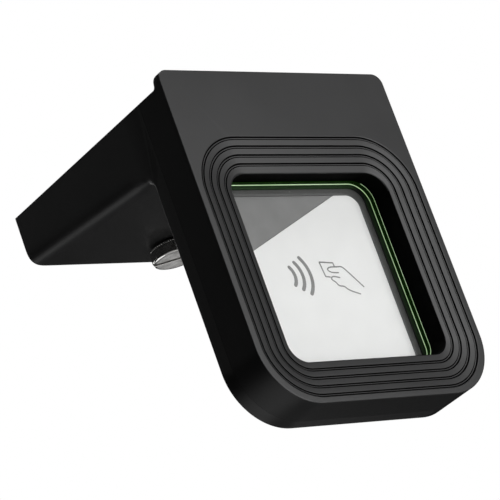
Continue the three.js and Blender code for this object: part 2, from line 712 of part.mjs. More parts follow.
// ---- Assembly ----
addPiece('front_housing', frontHousing(), faceplatePlastic);
addPiece('rear_shell', rearShell(), blackPlastic);
addPiece('arm_cover', armCover(), blackPlastic);
addPiece('window_glass', windowGlass(), greenGlass);
addPiece('glass_gasket', glassGasket(), blackRubber);
addPiece('light_frame', lightFrame(), darkDiffuser);
addPiece('label_panel', labelPanel(), whitePanel);
addPiece('scan_window', scanWindow(), greyPanel);
addPiece('antenna_board', antennaBoard(), circuitBoard);
addPiece('imager_housing', imagerHousing(), blackPlastic);
addPiece('imager_lens', imagerLens(), lensGlass);
scanLights.places.forEach((place, i) => {
  addPiece(`scan_led_${i + 1}`, ledAt(place, scanLights.size), ledPackage);
});
statusLights.places.forEach((place, i) => {
  addPiece(`status_led_${i + 1}`, ledAt(place, statusLights.size), ledPackage);
});
addPiece('main_board', mainBoardSolid(), circuitBoard);
addPiece('shield_can', shieldCan(), tinPlate);
addPiece('chip_socket', chipSocket(), blackPlastic);
addPiece('chip_card', chipCard(), whitePanel);
addPiece('sounder', sounder(), blackPlastic);
addPiece('usb_socket', usbSocket(), tinPlate);
addPiece('ribbon_cable', ribbonCable(), nylon);
caseScrews.forEach((place, i) => addPiece(`case_screw_${i + 1}`, screwFromBack(place), blackSteel));
coverScrews.forEach((place, i) => {
  addPiece(`cover_screw_${i + 1}`, screwFromTop(place, -0.2, 1, 9), blackSteel);
});
boardScrews.forEach((place, i) => {
  addPiece(`board_screw_${i + 1}`, screwFromTop(place, aboveBoard + 1.4, 1.4, 4.6), steel);
});
addPiece('screw_bush', screwBush(), brass);
addPiece('knob_washer', knobWasher(), nylon);
addPiece('retaining_ring', retainingRing(), steel);
addPiece('thumb_screw', thumbScrew(), steel);
addPiece('rating_label', ratingLabel(), paperLabel);

export default reader;
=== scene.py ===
"""Looks of the contactless reader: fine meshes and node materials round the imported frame, in mm."""

import json
import math

import bmesh
import bpy
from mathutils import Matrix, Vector


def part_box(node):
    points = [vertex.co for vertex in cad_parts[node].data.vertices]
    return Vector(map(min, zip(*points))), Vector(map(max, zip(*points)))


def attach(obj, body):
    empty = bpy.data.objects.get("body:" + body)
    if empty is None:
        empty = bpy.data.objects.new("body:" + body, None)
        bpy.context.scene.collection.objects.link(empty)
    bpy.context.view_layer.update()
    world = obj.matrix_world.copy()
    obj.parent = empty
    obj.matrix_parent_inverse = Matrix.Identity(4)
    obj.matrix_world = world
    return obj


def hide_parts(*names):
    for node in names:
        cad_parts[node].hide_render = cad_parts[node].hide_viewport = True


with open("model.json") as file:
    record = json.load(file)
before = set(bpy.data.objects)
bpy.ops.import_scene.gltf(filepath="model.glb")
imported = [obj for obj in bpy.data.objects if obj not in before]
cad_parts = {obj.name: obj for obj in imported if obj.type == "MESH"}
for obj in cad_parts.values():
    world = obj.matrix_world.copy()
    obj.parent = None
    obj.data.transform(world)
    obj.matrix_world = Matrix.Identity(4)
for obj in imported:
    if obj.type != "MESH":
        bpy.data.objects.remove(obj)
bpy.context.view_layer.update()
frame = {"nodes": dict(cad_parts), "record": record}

MM = 0.001
MERGE = 1e-6
ARC_STEPS = 24  # straight steps in a quarter turn


def box_mm(node):
    low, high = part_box(node)
    return low / MM, high / MM


# ---- Sizes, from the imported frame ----
housing_low, housing_high = box_mm("front_housing")
shell_low, shell_high = box_mm("rear_shell")
cover_low, cover_high = box_mm("arm_cover")
glass_low, glass_high = box_mm("window_glass")
gasket_low, gasket_high = box_mm("glass_gasket")
band_low, band_high = box_mm("light_frame")
panel_low, panel_high = box_mm("label_panel")
_, scan_high = box_mm("scan_window")
screw_low, screw_high = box_mm("thumb_screw")
washer_low, washer_high = box_mm("knob_washer")
label_low, label_high = box_mm("rating_label")
socket_low, socket_high = box_mm("usb_socket")

HALF_WIDTH = housing_high.x
FACE_Y = housing_low.y
LIP_TOP = housing_high.z
HEAD_BOTTOM = housing_low.z
FRONT_DEPTH = 12.0
SEAM_GAP = 0.02
SHELL_FRONT = FACE_Y + FRONT_DEPTH + SEAM_GAP
HEAD_DEPTH = 17.0
HEAD_BACK = FACE_Y + HEAD_DEPTH
ARM_REAR = shell_high.y
PANEL_TOP = scan_high.z

# ---- Head ----
LIP_DEPTH = 4.0
LIP_BACK_RADIUS = 1.4
HEAD_TOP_RADIUS = 3.5
HEAD_BOTTOM_RADIUS = 19.5
OUTER_BOTTOM_RADIUS = 18.2  # the outer edge turns a little tighter than the rings
EDGE_RADIUS = 0.3
ARM_EDGE = 0.6
SEAM_CHAMFER = 0.03
WALL = 2.0
FACE_THICKNESS = 3.2
GLASS_DEPTH = glass_low.y - FACE_Y
TUBE_WALL = 1.6
TUBE_END = 10.6

# ---- Dished bezel: insets are measured in from the sides of the face ----
DISH_START = 2.0
DISH_SLOPE = 0.11
FIRST_GROOVE = 2.22
GROOVE_PITCH = 2.78
GROOVE_COUNT = 4
# A groove from its outer lip inwards: distance, depth below the dish, and if the next stretch is painted in
# shade.
GROOVE_PROFILE = [
    (0.00, 0.00, False), (0.04, 0.03, True), (0.08, 0.60, True), (0.40, 0.60, True),
    (0.45, 0.26, False), (0.50, 0.22, False), (0.72, 0.22, False), (0.76, 0.26, True),
    (0.79, 0.54, True), (1.05, 0.54, True), (1.10, 0.03, False), (1.15, 0.00, False),
]
TOP_EXTRA = 19.85  # the rings sit this much further from the head's top than from its sides
RING_DROP = 0.4  # and this much nearer to its bottom
RIM_INSET = 13.45
RIM_TOP_EXTRA = 20.3
RIM_SIDE = 0.45  # how far the rim rolls inwards at its sides
RIM_TOP = 1.1  # and at its top
RIM_DEPTH = 0.5
WINDOW_INSET = 13.35
WINDOW_TOP_EXTRA = 19.35
BEZEL_TOP_RADIUS = 20.3

# ---- Arm ----
ARM_REAR_UNDERSIDE = -16.4
ARM_FRONT_UNDERSIDE = -22.4
ARM_CORNER_RADIUS = 7.0
ARM_CORNER_POWER = 3.5
ARM_FILLET = 4.6
ARM_WALL = 2.2
SCREW_Y = 23.6


# ---- Outlines, as lists of (x, z) ----
def arc(x, z, radius, start, end, power=2.0, steps=ARC_STEPS):
    """Points on an arc. A power above 2 swells a quarter turn into a squarer, softer corner."""
    def swell(part):
        return math.copysign(abs(part) ** (2 / power), part)

    points = []
    for i in range(steps + 1):
        angle = math.radians(start + (end - start) * i / steps)
        points.append((x + radius * swell(math.cos(angle)), z + radius * swell(math.sin(angle))))
    return points


def rounded(half, top, bottom, top_radius, bottom_radius, waist=None):
    """A rectangle about x = 0 with rounded corners, and a point on each side at the waist's height."""
    level = (top - top_radius + bottom + bottom_radius) / 2 if waist is None else waist
    return [
        *arc(half - top_radius, top - top_radius, top_radius, 0, 90),
        *arc(-half + top_radius, top - top_radius, top_radius, 90, 180),
        (-half, level),
        *arc(-half + bottom_radius, bottom + bottom_radius, bottom_radius, 180, 270),
        *arc(half - bottom_radius, bottom + bottom_radius, bottom_radius, 270, 360),
        (half, level),
    ]


def head_outline(inset):
    return rounded(HALF_WIDTH - inset, LIP_TOP - inset, HEAD_BOTTOM + inset, HEAD_TOP_RADIUS - inset,
                   OUTER_BOTTOM_RADIUS - inset, waist=0.0)


def bezel_outline(inset, top_extra=TOP_EXTRA, drop=RING_DROP):
    return rounded(HALF_WIDTH - inset, LIP_TOP - inset - top_extra, HEAD_BOTTOM + inset - drop,
                   BEZEL_TOP_RADIUS - inset, HEAD_BOTTOM_RADIUS - inset)


def window_outline(inset):
    return bezel_outline(WINDOW_INSET + inset, WINDOW_TOP_EXTRA, 0)


def plate_outline(half, top, bottom, top_radius, bottom_radius, grows=False):
    """Gives a function from an inset to a plate's outline, drawn in or grown by it, its radii unchanged."""
    def outline(inset):
        drawn = -inset if grows else inset
        return rounded(half - drawn, top - drawn, bottom + drawn, top_radius, bottom_radius)

    return outline


def lay_upright(outline, y):
    return [(x, y, z) for x, z in outline]


def lay_flat(outline, z):
    return [(x, y, z) for x, y in outline]


def quarter(radius, steps):
    """How far a rounded edge has moved in, and along, at each step of its quarter turn."""
    angles = [math.pi / 2 * i / steps for i in range(steps + 1)]
    return [(radius * (1 - math.sin(a)), radius * (1 - math.cos(a))) for a in angles]


def wall_with_rims(low, high, radius, steps=3):
    """(inset, level) pairs up a wall between two levels whose ends are rounded."""
    turn = quarter(radius, steps)
    pairs = [(inset, low + rise) for inset, rise in turn]
    return pairs + [(inset, high - rise) for inset, rise in reversed(turn)]


# ---- Meshes ----
def loft(rings, loop=False):
    """A closed solid through rings of points. Its ends are capped, or joined to each other in a loop."""
    count = len(rings[0])
    points = [point for ring in rings for point in ring]
    faces = []
    for r in range(len(rings) if loop else len(rings) - 1):
        here, there = r * count, (r + 1) % len(rings) * count
        for i in range(count):
            j = (i + 1) % count
            faces.append((here + i, here + j, there + j, there + i))
    if not loop:
        faces.append(tuple(reversed(range(count))))
        faces.append(tuple(range(len(points) - count, len(points))))
    return points, faces


def prism(outline, low, high):
    """A plate across the width and height, between two depths along Y."""
    return loft([lay_upright(outline, y) for y in (low, high)])


def column(outline, low, high):
    """A bar along Z, from an outline of (x, y)."""
    return loft([lay_flat(outline, z) for z in (low, high)])


def circle(x, y, radius, steps=48):
    turns = [2 * math.pi * i / steps for i in range(steps)]
    return [(x + radius * math.cos(t), y + radius * math.sin(t)) for t in turns]


def turned(profile, x, y, steps=64):
    """Turns a closed profile of (radius, z) about a vertical axis."""
    on_axis = 0.001
    rings = [lay_flat(circle(x, y, max(radius, on_axis), steps), z) for radius, z in profile]
    return loft(rings, loop=profile[0][0] > on_axis)


def solid(name, shape, finishes=None):
    """Makes an object from points in mm and faces; finishes gives each face's material number."""
    points, faces = shape
    mesh = bpy.data.meshes.new(name)
    mesh.from_pydata([tuple(c * MM for c in p) for p in points], [], faces)
    if finishes:
        mesh.polygons.foreach_set("material_index", finishes)
    edit = bmesh.new()
    edit.from_mesh(mesh)
    bmesh.ops.remove_doubles(edit, verts=edit.verts, dist=MERGE)
    bmesh.ops.dissolve_degenerate(edit, edges=edit.edges, dist=MERGE)
    bmesh.ops.recalc_face_normals(edit, faces=edit.faces)
    edit.to_mesh(mesh)
    edit.free()
    made = bpy.data.objects.new(name, mesh)
    bpy.context.scene.collection.objects.link(made)
    return made


def combine(base, operation, shapes):
    """Joins solids to base, or cuts them out of it."""
    tools = [solid("tool", shape) for shape in shapes]
    for tool in tools:
        step = base.modifiers.new("step", "BOOLEAN")
        step.operation = operation
        step.solver = "MANIFOLD"
        step.object = tool
    bpy.context.view_layer.update()
    result = bpy.data.meshes.new_from_object(base.evaluated_get(bpy.context.evaluated_depsgraph_get()))
    base.modifiers.clear()
    base.data = result
    for tool in tools:
        bpy.data.objects.remove(tool, do_unlink=True)


def chamfer(made, width):
    """Takes the sharp edges off a piece."""
    sharp = math.radians(60)
    edit = bmesh.new()
    edit.from_mesh(made.data)
    edges = [e for e in edit.edges if len(e.link_faces) == 2 and e.calc_face_angle() > sharp]
    bmesh.ops.bevel(edit, geom=edges, offset=width * MM, segments=1, affect="EDGES", clamp_overlap=True)
    edit.to_mesh(made.data)
    edit.free()


def dress(made, slot, replaces=(), body="reader", sharp=35, look=None, more=()):
    """Gives a piece its slot's material, smooth shading and body, and hides the parts it replaces.

    look is a material to use in place of the slot's own, and more has the other finishes' materials.
    """
    finishes = [face.material_index if more else 0 for face in made.data.polygons]
    made.data.materials.clear()
    for material in (look or looks[slot], *more):
        made.data.materials.append(material)
    made.data.polygons.foreach_set("material_index", finishes)
    made.data.polygons.foreach_set("use_smooth", [True] * len(made.data.polygons))
    made.data.set_sharp_from_angle(angle=math.radians(sharp))
    normals = made.modifiers.new("normals", "WEIGHTED_NORMAL")
    normals.keep_sharp = True
    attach(made, body)
    if replaces:
        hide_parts(*replaces)


# ---- Materials ----
class Nodes:
    """A new material and short calls that add nodes to it."""

    def __init__(self, name):
        self.material = bpy.data.materials.new(name)
        self.material.use_nodes = True
        self.tree = self.material.node_tree
        self.tree.nodes.clear()
        self.place = self.add("ShaderNodeTexCoord").outputs["Object"]

    def add(self, kind, inputs=None, **settings):
        node = self.tree.nodes.new(kind)
        for key, value in settings.items():
            setattr(node, key, value)
        for key, value in (inputs or {}).items():
            if isinstance(value, bpy.types.NodeSocket):
                self.tree.links.new(value, node.inputs[key])
            else:
                node.inputs[key].default_value = value
        return node

    def noise(self, scale, detail=2.0, roughness=0.5, stretch=(1, 1, 1)):
        place = self.place
        if stretch != (1, 1, 1):
            place = self.add("ShaderNodeMapping", {"Vector": self.place, "Scale": stretch}).outputs[0]
        values = {"Vector": place, "Scale": scale, "Detail": detail, "Roughness": roughness}
        return self.add("ShaderNodeTexNoise", values).outputs["Fac"]

    def ramp(self, value, bottom=0.0, top=1.0, low=0.3, high=0.7):
        """Maps value from low..high, a noise's usual range, to bottom..top, and holds it inside them."""
        inputs = {"Value": value, "From Min": low, "From Max": high, "To Min": bottom, "To Max": top}
        return self.add("ShaderNodeMapRange", inputs).outputs["Result"]

    def blend(self, share, first, second):
        node = self.add("ShaderNodeMix", data_type="RGBA")
        for socket, value in ((0, share), (6, first), (7, second)):
            if isinstance(value, bpy.types.NodeSocket):
                self.tree.links.new(value, node.inputs[socket])
            else:
                node.inputs[socket].default_value = value if socket == 0 else (*value, 1)
        return node.outputs[2]

    def sum(self, first, second, operation="ADD"):
        return self.add("ShaderNodeMath", {0: first, 1: second}, operation=operation).outputs[0]

    def bump(self, height, distance, strength=1.0):
        inputs = {"Height": height, "Distance": distance, "Strength": strength}
        return self.add("ShaderNodeBump", inputs).outputs["Normal"]

    def worn_edges(self):
        """1 on sharp outer edges and 0 elsewhere."""
        return self.ramp(self.add("ShaderNodeNewGeometry").outputs["Pointiness"], low=0.52, high=0.62)

    def along(self, axis):
        """Each point's place along an axis, 0 to 2 for X to Z, in metres."""
        return self.add("ShaderNodeSeparateXYZ", {"Vector": self.place}).outputs[axis]

    def size_of(self, value):
        return self.add("ShaderNodeMath", {0: value}, operation="ABSOLUTE").outputs[0]

    def surface(self, **inputs):
        node = self.add("ShaderNodeBsdfPrincipled", {key.replace("_", " "): v for key, v in inputs.items()})
        self.finish(node.outputs[0])
        return self.material

    def finish(self, shader):
        self.add("ShaderNodeOutputMaterial", {"Surface": shader})


def moulded_plastic(name, dark, light, roughness, specular, grain=1.0, painted_shade_before=None):
    """Spark-eroded black plastic: fine grain, faint cloudy gloss, and edges rubbed a little paler.

    In front of the depth given last, the plastic is painted a deeper black as shade, and the change is
    gradual.
    """
    n = Nodes(name)
    grain_height = n.noise(4200, 3.0, 0.6)
    cloud = n.noise(55, 3.0)
    colour = n.blend(n.ramp(cloud, low=0.35, high=0.65), dark, light)
    # Painted shade: darker in front of the given depth.
    if painted_shade_before is not None:
        share = n.ramp(n.along(1), low=(painted_shade_before - 2.5) * MM, high=(painted_shade_before + 4.5) * MM)
        colour = n.blend(share, tuple(c * 0.18 for c in dark), colour)
    rubbed = tuple(c * 1.8 for c in light)
    colour = n.blend(n.sum(n.worn_edges(), 0.35, "MULTIPLY"), colour, rubbed)
    gloss = n.sum(
        n.ramp(cloud, roughness - 0.03, roughness + 0.03),
        n.ramp(n.noise(2600), -0.03, 0.03),
    )
    return n.surface(
        Base_Color=colour,
        Roughness=gloss,
        Specular_IOR_Level=specular,
        Normal=n.bump(grain_height, 0.000012 * grain, 0.5),
    )


def printed_card(name, base, shade, roughness=0.55):
    """Printed film: near-flat ink with a faint mottle and a very fine dot grain."""
    n = Nodes(name)
    mottle = n.ramp(n.noise(160, 4.0))
    return n.surface(
        Base_Color=n.blend(mottle, base, shade),
        Roughness=n.ramp(n.noise(900), roughness - 0.05, roughness + 0.05),
        Normal=n.bump(n.noise(9000), 0.000004, 0.4),
    )


def metal(name, base, shade, roughness, stretch=(1, 1, 1)):
    """Plated or turned metal: fine tool marks, thin stains and uneven gloss."""
    n = Nodes(name)
    marks = n.noise(2500, 3.0, 0.6, stretch)
    stain = n.ramp(n.noise(220, 4.0), low=0.4, high=0.75)
    stained = n.ramp(stain, roughness, roughness + 0.12, 0.0, 1.0)
    return n.surface(
        Base_Color=n.blend(stain, base, shade),
        Metallic=1.0,
        Roughness=n.sum(stained, n.ramp(marks, -0.04, 0.04)),
        Normal=n.bump(marks, 0.00001, 0.4),
    )


def circuit_board(name):
    """Green solder mask with fine copper tracks showing through it."""
    n = Nodes(name)
    cells = n.add("ShaderNodeTexBrick", {"Vector": n.place, "Scale": 260.0}, offset=0.5, squash=1.0)
    cells.inputs["Color1"].default_value = (0.010, 0.085, 0.030, 1)
    cells.inputs["Color2"].default_value = (0.012, 0.110, 0.038, 1)
    cells.inputs["Mortar"].default_value = (0.030, 0.190, 0.070, 1)
    cells.inputs["Mortar Size"].default_value = 0.05
    cloud = n.ramp(n.noise(120), 0.0, 0.4, 0.4, 0.6)
    return n.surface(
        Base_Color=n.blend(cloud, cells.outputs["Color"], (0.008, 0.060, 0.022)),
        Roughness=n.ramp(n.noise(700), 0.3, 0.42),
        Normal=n.bump(cells.outputs["Fac"], 0.00002, 0.5),
    )


def clear_pane(name):
    """Clear glass faces: see-through straight on, mirror-like at a slant, with a few specks of dust."""
    n = Nodes(name)
    specks = n.add("ShaderNodeTexVoronoi", {"Vector": n.place, "Scale": 190.0})
    draw = n.add("ShaderNodeSeparateColor", {"Color": specks.outputs["Color"]}).outputs[0]
    chosen = n.ramp(draw, low=0.86, high=0.87)
    dust = n.sum(n.ramp(specks.outputs["Distance"], 0.5, 0.0, 0.02, 0.035), chosen, "MULTIPLY")
    clear = n.add("ShaderNodeBsdfTransparent", {"Color": (0.985, 0.987, 0.984, 1)}).outputs[0]
    gloss = n.add("ShaderNodeBsdfGlossy", {
        "Color": (1, 1, 1, 1),
        "Roughness": n.ramp(n.noise(90), 0.02, 0.05),
    }).outputs[0]
    behind = n.add("ShaderNodeNewGeometry").outputs["Backfacing"]
    mirrored = n.add("ShaderNodeFresnel", {"IOR": 1.45}).outputs[0]
    facing = n.sum(mirrored, n.ramp(behind, 1.0, 0.0, 0.0, 1.0), "MULTIPLY")
    pane = n.add("ShaderNodeMixShader", {0: facing, 1: clear, 2: gloss}).outputs[0]
    speck = n.add("ShaderNodeBsdfDiffuse", {"Color": (0.7, 0.75, 0.68, 1)}).outputs[0]
    n.finish(n.add("ShaderNodeMixShader", {0: dust, 1: pane, 2: speck}).outputs[0])
    return n.material


def glass_edge(name, base, shade, glow):
    """The cut edge of the pane: iron-green, with a painted glow in place of the light it carries in from
    the faces.
    """
    n = Nodes(name)
    along = n.ramp(n.noise(70, 2.0))
    colour = n.blend(along, base, shade)
    return n.surface(
        Base_Color=colour,
        Roughness=n.ramp(n.noise(1500), 0.12, 0.25),
        Emission_Color=colour,
        Emission_Strength=glow,
        Normal=n.bump(n.noise(3000, 2.0), 0.00001, 0.3),
    )


def gasket_foam(name):
    """Black foam tape, tinted green beside the pane's edge by the light that leaves it."""
    n = Nodes(name)
    middle = (gasket_low.z + gasket_high.z) / 2 * MM
    half_width = gasket_high.x * MM
    half_height = (gasket_high.z - gasket_low.z) / 2 * MM
    near, nearer = 1.9 * MM, 1.14 * MM
    across = n.size_of(n.along(0))
    up = n.size_of(n.sum(n.along(2), -middle))
    beside = n.sum(
        n.ramp(across, low=half_width - near, high=half_width - nearer),
        n.ramp(up, low=half_height - near, high=half_height - nearer),
        "MAXIMUM",
    )
    black = n.blend(n.ramp(n.noise(900)), (0.003, 0.003, 0.003), (0.006, 0.006, 0.006))
    return n.surface(
        Base_Color=n.blend(beside, black, (0.008, 0.035, 0.004)),
        Roughness=0.85,
        Normal=n.bump(n.noise(3500, 3.0), 0.00005, 0.8),
    )


def paper(name):
    n = Nodes(name)
    fibres = n.noise(2600, 4.0, 0.6, (1, 1, 0.3))
    return n.surface(
        Base_Color=n.blend(fibres, (0.62, 0.62, 0.60), (0.72, 0.72, 0.70)),
        Roughness=n.ramp(fibres, 0.55, 0.75),
        Normal=n.bump(fibres, 0.00001, 0.4),
    )


looks = {
    "faceplate": moulded_plastic(
        "faceplate_plastic", (0.0125, 0.0125, 0.0128), (0.0150, 0.0150, 0.0153), 0.33, 0.36),
    # The shell's plastic is painted darker in front of the head's back, as shade.
    "shell": moulded_plastic(
        "shell_plastic", (0.0168, 0.0168, 0.0170), (0.0200, 0.0200, 0.0203), 0.38, 0.20, 1.0, HEAD_BACK),
    "glass": clear_pane("window_pane"),
    "lens": metal("coated_lens", (0.02, 0.03, 0.06), (0.04, 0.02, 0.08), 0.06),
    "gasket": gasket_foam("gasket_foam"),
    "diffuser": printed_card("frosted_band", (0.072, 0.073, 0.072), (0.088, 0.089, 0.088), 0.5),
    "panel": printed_card("white_print", (0.80, 0.80, 0.80), (0.83, 0.83, 0.83), 0.5),
    "smoked": printed_card("grey_print", (0.165, 0.165, 0.165), (0.19, 0.19, 0.19), 0.45),
    "board": circuit_board("solder_mask"),
    "led": printed_card("led_phosphor", (0.75, 0.70, 0.40), (0.80, 0.76, 0.50), 0.4),
    "tin": metal("tin_plate", (0.55, 0.56, 0.57), (0.42, 0.43, 0.44), 0.3, (1, 8, 1)),
    "ribbon": printed_card("ribbon_film", (0.75, 0.74, 0.70), (0.66, 0.65, 0.62), 0.4),
    "black_screw": metal("blackened_steel", (0.030, 0.030, 0.032), (0.050, 0.048, 0.046), 0.36),
    "steel": metal("nickel_steel", (0.86, 0.85, 0.83), (0.70, 0.69, 0.67), 0.16),
    "brass": metal("turned_brass", (0.62, 0.42, 0.15), (0.50, 0.33, 0.12), 0.28, (1, 1, 12)),
    "washer": printed_card("nylon", (0.62, 0.62, 0.60), (0.70, 0.70, 0.68), 0.45),
    "label": paper("label_paper"),
}
# A darker copy of the faceplate's plastic: painted shade on the head's side walls.
shaded_side_plastic = moulded_plastic(
    "faceplate_side_painted_shade", (0.0075, 0.0075, 0.0077), (0.0095, 0.0095, 0.0097), 0.42, 0.16)
# Near-black plastic for the grooves, the rim's inner side and the recess walls: painted shade.
painted_shade_plastic = moulded_plastic(
    "painted_shade_plastic", (0.0010, 0.0010, 0.0010), (0.0018, 0.0018, 0.0018), 0.7, 0.03, 1.5)
# Painted highlight: a bright, glowing colour on the pane's ground arrises.
painted_highlight_edge = glass_edge("glass_arris_painted_highlight", (0.36, 0.56, 0.28), (0.60, 0.78, 0.52), 0.75)
# The pane's green sides carry a fainter painted glow.
green_edge_painted_glow = glass_edge("glass_side_painted_glow", (0.004, 0.022, 0.001), (0.007, 0.032, 0.002), 0.22)
ink = printed_card("grey_ink", (0.19, 0.19, 0.19), (0.23, 0.23, 0.23), 0.5)


# ---- Front housing ----
# Finishes: 0 is the faceplate's own plastic, 1 is painted shade in the grooves, rim and recess, 2 is
# painted shade on the side walls.
PLAIN, SHADED, PAINTED_SHADE_WALLS = 0, 1, 2
ARM_TOP_MARGIN = 0.01
LIP_STEPS = 6
EDGE_STEPS = 5
RIM_STEPS = 10
RIM_LIT_STEPS = 2
RECESS_LAND = 0.3  # the recess reaches its full size this far in front of the glass
HOLLOW_CORNER = 1.0


def dish_depth(inset):
    return DISH_SLOPE * (inset - DISH_START)


def below_lip(outline, level=0.0):
    return [(x, min(z, level)) for x, z in outline]


def lip_only(inset):
    """The head's outline with only the lip above the arm drawn in by an inset."""
    pairs = zip(head_outline(0), head_outline(inset))
    return [drawn if full[1] > ARM_TOP_MARGIN else full for full, drawn in pairs]


def rim_finish(step, at_top):
    """The rim is plain on its first steps, and at the top on nearly all of them; the rest is painted in
    shade.
    """
    plain_steps = RIM_STEPS - 1 if at_top else RIM_LIT_STEPS
    return PLAIN if step < plain_steps else SHADED


def front_housing():
    """The face plate: rings from the seam forward over the lip, across the bezel and back into the head."""
    rings = []
    finishes = []

    def add(outline, depth, finish=PLAIN):
        """Adds a ring, and the finish of the band from it to the next ring."""
        rings.append(lay_upright(outline, FACE_Y + depth))
        finishes.extend([finish] * len(outline))

    lower = below_lip(head_outline(0))
    # The side walls, from the seam back over the lip, get the painted shade.
    add(below_lip(head_outline(SEAM_CHAMFER), -SEAM_CHAMFER), FRONT_DEPTH, PAINTED_SHADE_WALLS)
    add(lower, FRONT_DEPTH - SEAM_CHAMFER, PAINTED_SHADE_WALLS)
    add(lower, LIP_DEPTH, PAINTED_SHADE_WALLS)
    for inset, rise in quarter(LIP_BACK_RADIUS, LIP_STEPS):
        add(lip_only(inset), LIP_DEPTH - rise, PAINTED_SHADE_WALLS)
    add(head_outline(0), EDGE_RADIUS)
    for depth, inset in quarter(EDGE_RADIUS, EDGE_STEPS)[1:]:
        add(head_outline(inset), depth)
    add(bezel_outline(DISH_START), 0)
    for groove in range(GROOVE_COUNT):
        for across, sink, shaded in GROOVE_PROFILE:
            inset = FIRST_GROOVE + groove * GROOVE_PITCH + across
            add(bezel_outline(inset), dish_depth(inset) + sink, SHADED if shaded else PLAIN)
    for step, (drawn, along) in enumerate(quarter(1.0, RIM_STEPS)):
        top_extra = RIM_TOP_EXTRA - (RIM_TOP - RIM_SIDE) * drawn
        ring = bezel_outline(RIM_INSET - RIM_SIDE * drawn, top_extra, 0)
        add(ring, dish_depth(RIM_INSET) + RIM_DEPTH * along)
        finishes[-len(ring):] = [rim_finish(step, z > ring[0][1]) for x, z in ring]
    # The recess walls in front of the glass are painted in shade.
    add(window_outline(0), GLASS_DEPTH - RECESS_LAND, SHADED)
    add(window_outline(0), TUBE_END)
    add(window_outline(-TUBE_WALL), TUBE_END)
    add(window_outline(-TUBE_WALL), FACE_THICKNESS)
    hollow = rounded(HALF_WIDTH - WALL, -WALL, HEAD_BOTTOM + WALL, HOLLOW_CORNER, HEAD_BOTTOM_RADIUS - WALL)
    add(hollow, FACE_THICKNESS)
    add(hollow, FRONT_DEPTH)
    plate = solid("faceplate", loft(rings, loop=True), finishes)
    dress(plate, "faceplate", ["front_housing"], more=[painted_shade_plastic, shaded_side_plastic])


# ---- Rear shell ----
def underside(y):
    share = (y - HEAD_BACK) / (ARM_REAR - HEAD_BACK)
    return ARM_FRONT_UNDERSIDE + (ARM_REAR_UNDERSIDE - ARM_FRONT_UNDERSIDE) * share


SLOPE = math.atan2(ARM_REAR_UNDERSIDE - ARM_FRONT_UNDERSIDE, ARM_REAR - HEAD_BACK)
FILLET_Y = HEAD_BACK + ARM_FILLET
FILLET_Z = underside(FILLET_Y) - ARM_FILLET / math.cos(SLOPE)
FILLET_LENGTH = ARM_FILLET * math.pi / 2
FILLET_STEPS = 16
FILLET_EDGE_STEP = 7  # the ring that closes on the shell's top front edge
CORNER_RUN = 6.0  # the arm's soft corner starts to tighten this far before the fillet
CORNER_TAIL = 1.0  # and reaches the head's own edge radius this far below it
CORNER_STEPS = 16
APPROACH_STEPS = 11
BACK_EDGE = 0.45
BACK_EDGE_STEPS = 10
BACK_EDGE_LIMIT = 4.3  # the back plate's outline is never drawn in further than this
SIDE_POINTS = 36


def smooth(share):
    share = min(max(share, 0.0), 1.0)
    return share * share * (3 - 2 * share)


def corner_radius(travel):
    """Radius of the lower outer corner, at a distance along the skin from where it starts to tighten."""
    eased = smooth(travel / (CORNER_RUN + FILLET_LENGTH + CORNER_TAIL))
    return ARM_CORNER_RADIUS + (BACK_EDGE - ARM_CORNER_RADIUS) * eased


def arm_section(skin, inward, end, end_turn, corner, power=ARM_CORNER_POWER, half=HALF_WIDTH):
    """A ring across the arm, from one closing edge round the soft lower corners to the other.

    skin is the middle of the underside, inward points into the material, end is where the ring closes and
    end_turn points from there along the side; all are (y, z).
    """
    left = [
        (-half + SEAM_CHAMFER, *end),
        (-half, end[0] + end_turn[0] * SEAM_CHAMFER, end[1] + end_turn[1] * SEAM_CHAMFER),
    ]
    for x, depth in arc(-half + corner, corner, corner, 180, 270, power, CORNER_STEPS):
        left.append((x, skin[0] + inward[0] * depth, skin[1] + inward[1] * depth))
    return left + [(-x, y, z) for x, y, z in reversed(left)]


def arm_outside():
    """The arm's skin: rings from its rear edge forward, round the fillet and into the head's back."""
    down, up, backward, slanted = (0, -1), (0, 1), (1, 0), (0.7, -0.7)
    rings = []
    for rise, inset in quarter(ARM_EDGE, 4):
        y = ARM_REAR - inset
        skin = (y, underside(y) + rise)
        corner = ARM_CORNER_RADIUS - rise
        rings.append(arm_section(skin, up, (y, -rise), down, corner, half=HALF_WIDTH - rise))
    first_angle = math.degrees(SLOPE) + 90
    first_y = FILLET_Y + ARM_FILLET * math.cos(math.radians(first_angle))
    for i in range(APPROACH_STEPS):
        y = first_y + CORNER_RUN * (1 - i / APPROACH_STEPS)
        corner = corner_radius(CORNER_RUN * i / APPROACH_STEPS)
        rings.append(arm_section((y, underside(y)), up, (y, 0), down, corner))
    for i in range(FILLET_STEPS + 1):
        share = i / FILLET_STEPS
        angle = math.radians(first_angle + (180 - first_angle) * share)
        skin = (FILLET_Y + ARM_FILLET * math.cos(angle), FILLET_Z + ARM_FILLET * math.sin(angle))
        facing = math.radians(90 + 90 * share)
        inward = (math.cos(facing), math.sin(facing))
        if i < FILLET_EDGE_STEP:
            end = (first_y + (SHELL_FRONT - first_y) * i / FILLET_EDGE_STEP, 0)
            end_turn = down
        elif i == FILLET_EDGE_STEP:
            end = (SHELL_FRONT, 0)
            end_turn = slanted
        else:
            end = (SHELL_FRONT, FILLET_Z * (i - FILLET_EDGE_STEP) / (FILLET_STEPS - FILLET_EDGE_STEP))
            end_turn = backward
        corner = corner_radius(CORNER_RUN + FILLET_LENGTH * share)
        power = ARM_CORNER_POWER + (2 - ARM_CORNER_POWER) * share
        rings.append(arm_section(skin, inward, end, end_turn, corner, power))
    buried = 0.5
    last_z = FILLET_Z - 2
    skin = (HEAD_BACK - buried, last_z)
    end = (SHELL_FRONT + buried, last_z)
    rings.append(arm_section(skin, (-1, 0), end, backward, corner=3.6, power=2.0, half=HALF_WIDTH - buried))
    return loft(rings)


